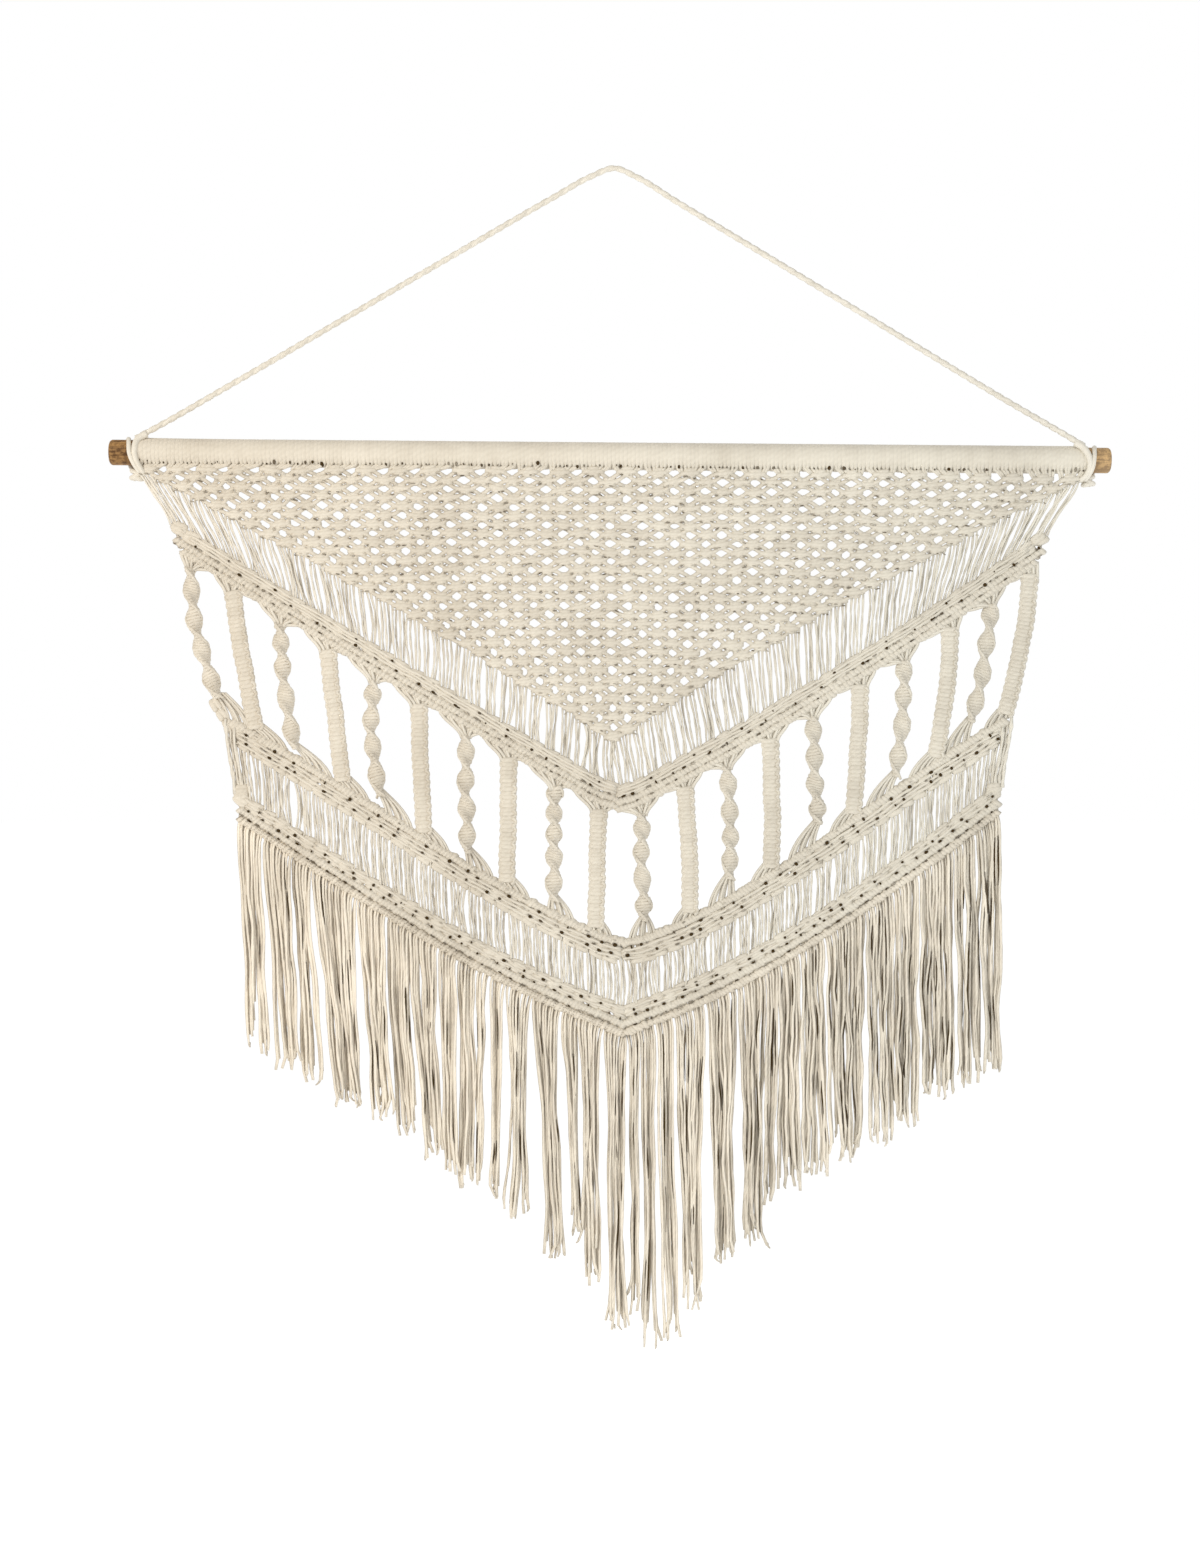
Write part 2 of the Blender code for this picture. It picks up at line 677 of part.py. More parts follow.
def main():
    for thing in list(bpy.data.objects):
        bpy.data.objects.remove(thing)
    cotton = material("cotton", (0.80, 0.73, 0.60), 0.95)
    wood = material("wood", (0.30, 0.16, 0.05), 0.55)
    panel = net()
    for shape in (heading(), bands(), strands_and_braids()):
        boolean(panel, shape, "UNION")
    boolean(panel, bore(), "DIFFERENCE")
    fringe = fringe_ridge()
    boolean(fringe, fringe_strands(), "UNION")
    rod = dowel()
    rod.data.materials.append(wood)
    rod.data.shade_smooth()
    rod.data.set_sharp_from_angle(angle=math.radians(40))
    cotton_things = [panel, fringe, hanging_cord()]
    for name, side in (("hitch_left", -1), ("hitch_right", 1)):
        cotton_things.append(hitch(name, side))
    for thing in cotton_things:
        thing.data.materials.append(cotton)


main()
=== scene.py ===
import math

import bpy
import numpy as np
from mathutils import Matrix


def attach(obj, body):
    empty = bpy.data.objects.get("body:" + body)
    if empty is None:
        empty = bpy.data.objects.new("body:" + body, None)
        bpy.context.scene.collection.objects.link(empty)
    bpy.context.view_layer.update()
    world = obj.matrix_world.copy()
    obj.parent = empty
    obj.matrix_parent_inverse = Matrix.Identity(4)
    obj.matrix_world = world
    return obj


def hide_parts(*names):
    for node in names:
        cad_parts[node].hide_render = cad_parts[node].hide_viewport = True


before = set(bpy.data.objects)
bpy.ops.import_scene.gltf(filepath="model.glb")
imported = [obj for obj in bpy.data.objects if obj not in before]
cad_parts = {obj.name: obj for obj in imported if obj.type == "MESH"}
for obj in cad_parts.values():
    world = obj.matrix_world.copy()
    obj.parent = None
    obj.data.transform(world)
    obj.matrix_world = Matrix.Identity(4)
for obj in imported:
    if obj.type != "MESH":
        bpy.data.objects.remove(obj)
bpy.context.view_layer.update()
rng = np.random.default_rng(12)
uniform = rng.uniform

FRONT = np.array([0.0, -1.0, 0.0])
UP = np.array([0.0, 0.0, 1.0])
ALONG = np.array([1.0, 0.0, 0.0])
MM = 0.001
HANGER_AT = (614.0, 171.5)
PICTURE_MIDDLE = (600.0, 775.5)
CAMERA_AWAY = 2600.0
HALF_STRINGS = 120
COLUMN_STRINGS = 12
PANEL = ("cotton", "macrame_panel")


def linked(name, data):
    """A new object in the scene."""
    made = bpy.data.objects.new(name, data)
    bpy.context.scene.collection.objects.link(made)
    return made


# Camera: straight on, facing the middle of the picture.

camera_data = bpy.data.cameras.new("camera")
camera_data.sensor_width = 36.0
camera_data.lens = camera_data.sensor_width / 2 * CAMERA_AWAY / PICTURE_MIDDLE[1]
camera_data.clip_start = 0.05
camera_data.clip_end = 200.0
camera = linked("camera", camera_data)
camera.location = (
    (PICTURE_MIDDLE[0] - HANGER_AT[0]) * MM,
    -CAMERA_AWAY * MM,
    (HANGER_AT[1] - PICTURE_MIDDLE[1]) * MM,
)
camera.rotation_euler = (math.radians(90.0), 0.0, 0.0)
bpy.context.scene.camera = camera


# Places. A place in the picture is (across, down) in millimetres from its top left corner.


def matched(*values):
    return np.broadcast_arrays(*(np.asarray(v, float) for v in values))


def at(across, down, front=0.0):
    across, down, front = matched(across, down, front)
    return np.stack([across - HANGER_AT[0], -front, HANGER_AT[1] - down], axis=-1)


def seen(across, down, front):
    """A place in front of the hanging, put where it is seen at (across, down)."""
    nearer = 1.0 + front / CAMERA_AWAY
    x, y = PICTURE_MIDDLE
    return at(x + (across - x) / nearer, y + (down - y) / nearer, front)


def bezier(a, b, c, d, count):
    t = np.linspace(0.0, 1.0, count)[:, None]
    a, b, c, d = (np.asarray(p, float) for p in (a, b, c, d))
    return (1 - t) ** 3 * a + 3 * (1 - t) ** 2 * t * b + 3 * (1 - t) * t**2 * c + t**3 * d


def run_length(points):
    """How far along a line each of its points is."""
    return np.concatenate([[0], np.cumsum(np.linalg.norm(np.diff(points, axis=0), axis=1))])


def smooth_line(points, count):
    """A smooth line through points, evenly spaced."""
    points = np.asarray(points, float)
    far = run_length(points)
    slope = np.gradient(points, far, axis=0)
    want = np.linspace(0, far[-1], count)
    i = np.clip(np.searchsorted(far, want) - 1, 0, len(far) - 2)
    h = (far[i + 1] - far[i])[:, None]
    t = ((want - far[i])[:, None]) / h
    return (
        (2 * t**3 - 3 * t**2 + 1) * points[i]
        + (t**3 - 2 * t**2 + t) * h * slope[i]
        + (3 * t**2 - 2 * t**3) * points[i + 1]
        + (t**3 - t**2) * h * slope[i + 1]
    )


def unit(vector):
    return vector / np.linalg.norm(vector)


def turned(angle, first, second):
    """The unit vector first, turned by an angle towards second."""
    angle = np.asarray(angle)[..., None]
    return np.cos(angle) * first + np.sin(angle) * second


def circle(count):
    """Angles evenly spaced round a circle."""
    return np.linspace(0, math.tau, count, endpoint=False)


def jitter(size, count=None):
    return rng.normal(0.0, size, count)


def wander(count, size, waves=2.0):
    """A soft random wave along a string."""
    t = np.linspace(0.0, 1.0, count)
    total = np.zeros(count)
    for k in (1.0, 1.9, 3.1):
        total += np.sin(t * waves * k * math.pi + uniform(0, math.tau)) / k
    return size * total / 1.6


def frame_along(path, facing, closed=False):
    """At each point of a line, the unit vectors up (towards facing) and sideways."""
    step = np.roll(path, -1, 0) - np.roll(path, 1, 0) if closed else np.gradient(path, axis=0)
    ahead = step / np.linalg.norm(step, axis=1)[:, None]
    up = facing - (facing * ahead).sum(1)[:, None] * ahead
    up = up / np.linalg.norm(up, axis=1)[:, None]
    return up, np.cross(ahead, up)


class Strings:
    """Many strings, each a swept oval, gathered into one mesh."""

    def __init__(self):
        self.points, self.corners, self.sizes = [], [], []
        self.lay, self.tone, self.total = [], [], 0

    def add(self, path, facing, thick, tall=None, sides=6, closed=False, tone=None):
        """thick is half the width across facing, tall half the width along it."""
        path = np.asarray(path, float)
        n = len(path)
        tall = thick if tall is None else tall
        thick = np.broadcast_to(np.asarray(thick, float), n)[:, None, None]
        tall = np.broadcast_to(np.asarray(tall, float), n)[:, None, None]
        up, side = frame_along(path, facing, closed)
        turn = circle(sides)
        c, s = np.cos(turn)[None, :, None], np.sin(turn)[None, :, None]
        ring = path[:, None] + side[:, None] * c * thick + up[:, None] * s * tall
        far = run_length(path)
        lay = np.empty((n, sides, 3))
        lay[:, :, 0] = np.sin(turn) if closed else np.cos(turn)
        lay[:, :, 1] = np.cos(turn) if closed else np.sin(turn)
        lay[:, :, 2] = far[:, None] + uniform(0, 50)
        rows = np.arange(n if closed else n - 1)
        a = rows[:, None] * sides + np.arange(sides)[None, :]
        b = ((rows + 1) % n)[:, None] * sides + np.arange(sides)[None, :]
        quads = np.stack([a, b, np.roll(b, -1, 1), np.roll(a, -1, 1)], axis=-1).reshape(-1, 4)
        self.corners.append(quads.ravel() + self.total)
        self.sizes.append(np.full(len(quads), 4))
        if not closed:
            first = np.arange(sides)
            last = (n - 1) * sides + np.arange(sides)[::-1]
            self.corners.append(np.concatenate([first, last]) + self.total)
            self.sizes.append(np.full(2, sides))
        self.points.append(ring.reshape(-1, 3))
        self.lay.append(lay.reshape(-1, 3))
        # A string's tone is its own random tone plus painted shade; high values paint deep shadow.
        tone = uniform() if tone is None else tone
        self.tone.append(np.repeat(np.broadcast_to(tone, n), sides))
        self.total += n * sides

    def piece(self, name, material, slot, node):
        mesh = bpy.data.meshes.new(name)
        points = np.concatenate(self.points) * MM
        corners = np.concatenate(self.corners)
        sizes = np.concatenate(self.sizes)
        mesh.vertices.add(len(points))
        mesh.vertices.foreach_set("co", points.astype(np.float32).ravel())
        mesh.loops.add(len(corners))
        mesh.loops.foreach_set("vertex_index", corners.astype(np.int32))
        mesh.polygons.add(len(sizes))
        mesh.polygons.foreach_set("loop_start", (np.cumsum(sizes) - sizes).astype(np.int32))
        mesh.polygons.foreach_set("use_smooth", np.ones(len(sizes), bool))
        mesh.update(calc_edges=True)
        mesh.validate()
        lay = mesh.attributes.new("lay", "FLOAT_VECTOR", "POINT")
        lay.data.foreach_set("vector", np.concatenate(self.lay).astype(np.float32).ravel())
        tone = mesh.attributes.new("tone", "FLOAT", "POINT")
        tone.data.foreach_set("value", np.concatenate(self.tone).astype(np.float32))
        mesh.materials.append(material)
        made = linked(name, mesh)
        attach(made, "root")
        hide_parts(node)
        return made


# Materials.


class Nodes:
    def __init__(self, name):
        self.material = bpy.data.materials.new(name)
        self.material.use_nodes = True
        self.tree = self.material.node_tree
        self.shader = self.tree.nodes["Principled BSDF"]

    def node(self, kind, values=(), **settings):
        made = self.tree.nodes.new(kind)
        for key, value in settings.items():
            setattr(made, key, value)
        return self.fill(made, dict(values))

    def fill(self, made, values):
        for socket, value in values.items():
            if isinstance(value, bpy.types.NodeSocket):
                self.tree.links.new(value, made.inputs[socket])
            else:
                made.inputs[socket].default_value = value
        return made

    def math(self, operation, first, second=0.0, third=0.0):
        values = {0: first, 1: second, 2: third}
        return self.node("ShaderNodeMath", values, operation=operation).outputs[0]

    def scaled(self, value, by, plus=0.0):
        return self.math("MULTIPLY_ADD", value, by, plus)

    def total(self, first, *others):
        for other in others:
            first = self.math("ADD", first, other)
        return first

    def stretched(self, parts, *by):
        """A place whose three parts are each scaled."""
        values = {i: self.scaled(parts.outputs[i], by[i]) for i in range(3)}
        return self.node("ShaderNodeCombineXYZ", values).outputs[0]

    def mix(self, share, first, second):
        values = {0: share, 6: first, 7: second}
        return self.node("ShaderNodeMix", values, data_type="RGBA").outputs[2]

    def ramp(self, value, *stops):
        values = dict(enumerate((value, *stops)))
        made = self.node("ShaderNodeMapRange", values, interpolation_type="SMOOTHSTEP")
        return made.outputs[0]

    def noise(self, where, scale, detail, rough):
        values = {"Vector": where, "Scale": scale, "Detail": detail, "Roughness": rough}
        return self.node("ShaderNodeTexNoise", values).outputs[0]

    def bump(self, strength, distance, height):
        values = {"Strength": strength, "Distance": distance, "Height": height}
        return self.node("ShaderNodeBump", values).outputs[0]


def cotton(name, light, shade, pitch, ply_depth, edge=0.0):
    """Undyed cotton string: soft plies, fine fibres, patches of warmer and greyer tone, with
    painted shade and a painted tint of the light.
    """
    m = Nodes(name)
    place = m.node("ShaderNodeTexCoord").outputs["Object"]
    lay = m.node("ShaderNodeAttribute", attribute_name="lay").outputs["Vector"]
    tone = m.node("ShaderNodeAttribute", attribute_name="tone").outputs["Fac"]
    parts = m.node("ShaderNodeSeparateXYZ", {0: lay})
    turn = m.math("ARCTAN2", parts.outputs[1], parts.outputs[0])
    twist = m.scaled(parts.outputs[2], math.tau / pitch)
    wave = m.math("SINE", m.scaled(turn, 2.0, twist))
    ply = m.math("POWER", m.scaled(wave, 0.5, 0.5), 0.6)
    spun = m.stretched(parts, 6.0, 6.0, 0.55)
    fibre = m.noise(spun, 1.6, 3.0, 0.6)
    fuzz = m.noise(place, 1500.0, 3.0, 0.65)
    patch = m.noise(place, 9.0, 3.0, 0.55)
    cloud = m.noise(place, 60.0, 2.0, 0.5)
    across = m.node("ShaderNodeSeparateXYZ", {0: place}).outputs[0]
    # Painted light: the colour is warmer towards the left, where the warm key light falls, and
    # cooler towards the right.
    right = m.ramp(across, -0.50, 0.45, 0.0, 1.0)
    # A lit and a shaded copy of the cotton colour, mixed below: painted shade.
    lit_colour = m.mix(right, (*light[0], 1.0), (*light[1], 1.0))
    shaded_colour = m.mix(right, (*shade[0], 1.0), (*shade[1], 1.0))
    # Painted shade at a string's sides, where it meets its neighbours; edge sets how much.
    side = m.math("ABSOLUTE", parts.outputs[0])
    # How far the colour goes from lit to shaded: the string's own tone, patches and fibres, plus
    # painted shade.
    tone_and_shade_share = m.total(
        m.scaled(tone, 0.34, 0.02),
        m.ramp(patch, 0.35, 0.70, 0.0, 0.22),
        m.ramp(cloud, 0.40, 0.75, 0.0, 0.15),
        # Painted shade in the grooves between plies.
        m.scaled(ply, -0.13, 0.13),
        m.ramp(fibre, 0.35, 0.75, 0.12, 0.0),
        m.ramp(side, 0.40, 0.95, 0.0, edge),
    )
    colour = m.mix(tone_and_shade_share, lit_colour, shaded_colour)
    # Painted shadow: where a string's tone attribute is high, the string turns near black, standing
    # for shade in holes and crevices; sheen fades there too.
    deep_shadow = m.ramp(tone, 1.2, 2.2, 0.0, 1.0)
    height = m.total(m.scaled(ply, ply_depth), m.scaled(fibre, 0.20), m.scaled(fuzz, 0.06))
    looks = {
        "Base Color": m.mix(deep_shadow, colour, (0.052, 0.030, 0.008, 1.0)),
        "Roughness": 0.92,
        "Specular IOR Level": 0.18,
        "Sheen Weight": m.scaled(deep_shadow, -0.22, 0.22),
        "Sheen Roughness": 0.45,
        "Normal": m.bump(0.75, 0.0006, height),
    }
    m.fill(m.shader, looks)
    return m.material


STRING = cotton(
    "cotton_string",
    ((0.765, 0.700, 0.590), (0.735, 0.700, 0.605)),
    ((0.480, 0.415, 0.325), (0.460, 0.420, 0.350)),
    pitch=7.5, ply_depth=0.35, edge=0.45,
)
KNOTTED = cotton(
    "cotton_knotted",
    ((0.770, 0.700, 0.585), (0.745, 0.705, 0.605)),
    ((0.520, 0.450, 0.350), (0.500, 0.455, 0.375)),
    pitch=6.0, ply_depth=0.2,
)
FRINGE = cotton(
    "cotton_fringe",
    ((0.870, 0.780, 0.640), (0.850, 0.785, 0.665)),
    ((0.400, 0.335, 0.250), (0.380, 0.340, 0.270)),
    pitch=7.5, ply_depth=0.3, edge=0.55,
)
ROPE = cotton(
    "cotton_rope",
    ((0.800, 0.742, 0.635), (0.790, 0.750, 0.660)),
    ((0.620, 0.560, 0.460), (0.610, 0.570, 0.485)),
    pitch=7.0, ply_depth=0.15,
)


def wood():
    m = Nodes("dowel_wood")
    place = m.node("ShaderNodeTexCoord").outputs["Object"]
    parts = m.node("ShaderNodeSeparateXYZ", {0: place})
    long = m.stretched(parts, 0.07, 1.0, 1.0)
    grain = m.noise(long, 420.0, 5.0, 0.62)
    bands = m.noise(long, 90.0, 3.0, 0.5)
    stain = m.noise(place, 190.0, 4.0, 0.7)
    # Painted light: the dowel is darker at its left end, in shade, and lighter at its right end,
    # where the light falls.
    right = m.ramp(parts.outputs[0], -0.2, 0.3, 0.0, 1.0)
    # Painted shade along the dowel's underside, on its lit right part.
    low = m.ramp(parts.outputs[2], -0.302, -0.284, 1.0, 0.0)
    light = m.mix(right, (0.400, 0.220, 0.080, 1.0), (0.680, 0.450, 0.210, 1.0))
    dark = m.mix(right, (0.095, 0.043, 0.012, 1.0), (0.290, 0.190, 0.100, 1.0))
    tone_and_shade_share = m.total(
        m.ramp(grain, 0.38, 0.66, 0.0, 0.55),
        m.ramp(bands, 0.40, 0.70, 0.0, 0.35),
        m.scaled(m.math("MULTIPLY", low, right), 0.55),
        m.ramp(stain, 0.42, 0.60, 0.0, 0.50),
    )
    looks = {
        "Base Color": m.mix(tone_and_shade_share, light, dark),
        "Roughness": m.scaled(grain, 0.25, 0.42),
        "Specular IOR Level": 0.2,
        "Normal": m.bump(0.5, 0.0005, grain),
    }
    m.fill(m.shader, looks)
    return m.material


WOOD = wood()


# Dowel: its axis drops a little to the right.

DOWEL_RADIUS = 12.7
DOWEL_LEFT = (-504.0, -280.9)
DOWEL_RIGHT = (496.0, -289.1)


def axis(x):
    """Height of the dowel's axis."""
    share = (np.asarray(x, float) - DOWEL_LEFT[0]) / (DOWEL_RIGHT[0] - DOWEL_LEFT[0])
    return DOWEL_LEFT[1] + share * (DOWEL_RIGHT[1] - DOWEL_LEFT[1])


def round_dowel(x, angle, radius):
    """A place round the dowel: angle 0 at the front, 90 on top, 180 behind."""
    x, a, radius = matched(x, np.radians(angle), radius)
    return np.stack([x, -radius * np.cos(a), axis(x) + radius * np.sin(a)], axis=-1)


# Hanging cord: two strings twisted together, made first.

ROPE_LAY = 21.0
ROPE_PLY_OUT = 0.88
ROPE_PLY = 2.4
CORD_FORWARD = (7.0, 10.0)
CORD_ROUTE = [
    (-477, -267.6), (-467, -262.4), (-379, -212.2), (-260, -142.5), (-140, -72.3), (-60, -25.8),
    (-22, -4.6), (0, 3.3), (22, -5.4), (60, -28.9), (150, -83.6), (270, -156.6), (386, -227.3),
    (461, -271.4), (468, -275.6),
]


def cord_line(count):
    route = np.array(CORD_ROUTE, float)
    left, right = CORD_FORWARD
    x = route[:, 0]
    y = np.where(x < 0, -left * x / x[0], -right * x / x[-1])
    return smooth_line(np.stack([x, y, route[:, 1]], axis=1), count)


rope = Strings()
rope_line = cord_line(620)
rope_up, rope_side = frame_along(rope_line, FRONT)
for k in (0, 1):
    turn = run_length(rope_line) * math.tau / ROPE_LAY + math.pi * k
    out = turned(turn, rope_side, rope_up)
    rope.add(rope_line + out * ROPE_PLY_OUT, out, ROPE_PLY, ROPE_PLY * 0.98, sides=8)
rope.add(rope_line[::4], FRONT, 2.45, sides=8)
hanger = rope.piece("hanging_rope", ROPE, "cord", "hanger_cord")


# Hitches: one string over the front of the heading's end, one loop round the bare dowel, one knot.

HITCH_LEFT = (
    [
        (147, 434, 7), (140.4, 436.9, 8.6), (136.6, 440.8, 10.8), (134.7, 446.5, 13.7),
        (134.3, 452.5, 14.8), (135.4, 458.5, 14.4), (138.2, 464.5, 12.6), (141.6, 470, 10.4),
        (144.6, 475, 7.4),
    ],
    [
        (136, 474, -3), (130.5, 466, -9.7), (128.5, 456, -15), (128, 446.5, -13.4),
        (128.2, 440.9, -7.8), (128.6, 439.1, 0), (128.8, 440.9, 7.8), (128.8, 446.5, 13.6),
        (129.4, 453, 15.4), (131.5, 459, 15), (135, 465.5, 12.6), (139.5, 471.5, 9),
        (144, 478, 5.5),
    ],
    (137.6, 475.6, 2.5),
    -1.0,
)
HITCH_RIGHT = (
    [
        (1075, 442.8, 9.6), (1082, 446.6, 11.6), (1086.8, 452, 14.3), (1089.6, 458.5, 15.5),
        (1090.3, 465, 14.9), (1088.6, 471.5, 12.7), (1084.6, 477, 9.8), (1079, 481, 6.5),
    ],
    [
        (1088, 482, -3), (1092.5, 474, -9.7), (1094.3, 463, -15.2), (1094.6, 454.5, -13.2),
        (1094.5, 449.6, -7.6), (1094.4, 447.7, 0), (1094.4, 449.8, 8), (1094.4, 455.5, 13.9),
        (1093.8, 462, 15.4), (1092.6, 467.5, 14.7), (1089.5, 474, 11.6), (1085, 480, 7),
    ],
    (1087.8, 481.2, -0.5),
    1.0,
)
KNOT_RINGS = ((0.4, 5.4, 4.0, 2.3), (-0.45, 5.8, 4.3, -0.3), (0.2, 4.8, 4.0, -3.0))


def hitch(name, places, node):
    over, loop, centre, outward = places
    strings = Strings()
    for table, count, radius in ((over, 26, np.linspace(3.7, 2.3, 26)), (loop, 60, 2.35)):
        line = smooth_line(seen(*np.array(table, float).T), count)
        strings.add(line, ALONG, radius, sides=10, tone=0.6)
    middle = at(*centre)
    phi = circle(22)
    # The knot's rings a little darker than its strings: painted shade.
    for tilt, wide, deep, lift in KNOT_RINGS:
        rise = lift + wide * math.sin(tilt) * np.cos(phi) * outward
        ring = np.stack([wide * np.cos(phi), deep * np.sin(phi), rise], axis=1)
        strings.add(middle + ring, UP, 2.3, sides=8, closed=True, tone=0.9)
    for lean in (-1.6, 1.2):
        tail = ((lean * 0.5, -1.0, 4.0), (lean, -0.5, 0.0), (lean * 1.7 + outward, 0.0, -5.4))
        strings.add(smooth_line(middle + np.array(tail), 7), FRONT, 1.9, sides=8)
    return strings.piece(name, ROPE, "cord", node)


hitch_left = hitch("hitch_string_left", HITCH_LEFT, "hitch_left")
hitch_right = hitch("hitch_string_right", HITCH_RIGHT, "hitch_right")


# Dowel's mesh.


def dowel_mesh():
    sides = 56
    edge = 3.5
    profile = [(0.0, 4.5), (0.0, 9.2)]
    for k in range(1, 7):
        a = math.radians(90 * k / 6)
        profile.append((edge - edge * math.cos(a), DOWEL_RADIUS - edge + edge * math.sin(a)))
    left, right = (np.array([x, 0.0, z]) for x, z in (DOWEL_LEFT, DOWEL_RIGHT))
    length = np.linalg.norm(right - left)
    ahead = (right - left) / length
    up = np.cross(FRONT, ahead)
    middle = [(s, DOWEL_RADIUS) for s in np.linspace(12, length - 12, 40)]
    profile += middle + [(length - s, r) for s, r in reversed(profile)]
    points = []
    for s, r in profile:
        for a in circle(sides):
            bump = 1.0 + 0.006 * math.sin(3 * a + s * 0.011) + 0.004 * math.sin(5 * a - s * 0.02)
            points.append(left + ahead * s + turned(a, FRONT, up) * r * bump)
    ring = np.arange(len(points)).reshape(-1, sides)
    after = np.roll(ring, -1, axis=1)
    faces = np.stack([ring[:-1], after[:-1], after[1:], ring[1:]], axis=-1).reshape(-1, 4).tolist()
    for k, n, last_k, last_n in zip(ring[0], after[0], ring[-1], after[-1]):
        faces += [(len(points), n, k), (len(points) + 1, last_k, last_n)]
    points += [left, right]
    mesh = bpy.data.meshes.new("dowel_rod")
    mesh.from_pydata([tuple(p * MM) for p in points], [], faces)
    mesh.polygons.foreach_set("use_smooth", [True] * len(faces))
    mesh.materials.append(WOOD)
    made = linked("dowel_rod", mesh)
    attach(made, "root")
    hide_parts("dowel")


# Lines of the bands, each a curve from the outer end to the point.


def curve(points, degree=2):
    return np.poly1d(np.polyfit(*zip(*points), degree))


ROUNDED = {"upper": 4.5, "middle": 3.0, "lower": -2.0}


class Half:
    """One half of the hanging: strings are numbered 0 to 119 from its outer edge to the middle."""

    def __init__(self, sign, spans, lines):
        self.sign, self.spans, self.lines = sign, spans, lines

    def across(self, level, number):
        outer, inner = self.spans[level]
        return outer + (inner - outer) * (number + 0.5) / HALF_STRINGS

    def down(self, level, across):
        """Height of a line, rounded off where the two halves meet."""
        _, inner = self.spans[level]
        rounded = ROUNDED[level] * np.exp(-(((across - inner) / 13.0) ** 2))
        return self.lines[level](across) - rounded

    def spot(self, level, number):
        """Where a string crosses a line."""
        x = self.across(level, number)
        return x, self.down(level, x)

    def slant(self, level, across):
        return math.atan(self.lines[level].deriv()(across))

    def knots(self, level, offset, shift=0.0):
        """A knot's place for each four strings."""
        x, y = self.spot(level, np.arange(30) * 4 + 1.5 + shift)
        return np.stack([x, y + offset, 0.0 * x], axis=1)


LEFT_UPPER = [
    (205, 567), (250, 600), (300, 628), (345, 654), (390, 681), (437, 708), (480, 738), (525, 764),
    (570, 788), (617, 815),
]
LEFT_MIDDLE = [
    (243, 725), (285, 748), (325, 772), (370, 800), (408, 826), (452, 854), (493, 878), (540, 902),
    (580, 920), (622, 942),
]
LEFT_LOWER = [
    (235, 790), (260, 805), (300, 830), (340, 858), (400, 895), (440, 920), (480, 940), (520, 962),
    (560, 980), (600, 995), (625, 1007),
]
RIGHT_UPPER = [
    (617, 815), (663, 796), (710, 771), (755, 745), (798, 717), (843, 690), (885, 662), (930, 636),
    (970, 608), (1012, 584), (1045, 560),
]
RIGHT_MIDDLE = [
    (622, 942), (665, 926), (705, 908), (748, 884), (797, 856), (830, 832), (868, 805), (905, 779),
    (950, 752), (985, 728),
]
RIGHT_LOWER = [
    (625, 1007), (660, 990), (700, 972), (740, 956), (780, 938), (820, 914), (860, 885), (900, 853),
    (940, 826), (980, 800), (998, 786),
]
LEFT = Half(
    1.0,
    {"upper": (168.0, 617.0), "middle": (228.0, 622.0), "lower": (236.0, 625.0)},
    {"upper": curve(LEFT_UPPER), "middle": curve(LEFT_MIDDLE, 3), "lower": curve(LEFT_LOWER, 3)},
)
RIGHT = Half(
    -1.0,
    {"upper": (1050.0, 617.0), "middle": (1009.0, 622.0), "lower": (1001.0, 625.0)},
    {"upper": curve(RIGHT_UPPER), "middle": curve(RIGHT_MIDDLE, 3), "lower": curve(RIGHT_LOWER, 3)},
)
HALVES = (LEFT, RIGHT)
UPPER_THICK = 29.0
LAST_NUMBER = HALF_STRINGS - 0.7


# Heading and net.

HEADING = (-476.5, 472.0)
ROWS = 30
FIRST_GAP = curve(
    [(0, 163.4), (5, 250), (9, 316.4), (13, 382), (20, 495), (24, 556), (28, 613.5)], 3
)
LAST_GAP = curve(
    [(0, 1055.5), (5, 970.5), (8, 921), (13, 842), (17, 776), (20, 728), (24, 669), (28, 613.5)],
    3,
)


def net_places():
    """Centre (across, down, front) of every knot, row by row."""
    rows = []
    for r in range(ROWS):
        n = ROWS - r
        left, right = FIRST_GAP(r) - 14.0, LAST_GAP(r) + 14.0
        if n == 1:
            share = np.array([0.5])
        else:
            i = np.arange(n - 1)
            step = 1.0 - 0.13 * (np.exp(-i / 1.6) + np.exp(-(n - 2 - i) / 1.6))
            share = np.concatenate([[0.0], np.cumsum(step)]) / step.sum()
        x = left + (right - left) * share
        y = 469.2 + 0.0095 * (x - 150.0) + 8.62 * r + 0.0145 * r * r
        y += 2.0 * min(r / 9.0, 1.0) * np.abs(2 * share - 1) ** 3
        y += 2.2 * np.clip((x - 880.0) / 150.0, 0, 1) * math.exp(-r / 6.0)
        x += jitter(0.75, n)
        y += jitter(0.6, n)
        front = 7.2 * math.exp(-r / 2.6) + jitter(0.35, n)
        rows.append(np.stack([x, y, front], axis=1))
    return rows


NET = net_places()


def lump(u, power):
    return np.sign(u) * np.abs(u) ** power


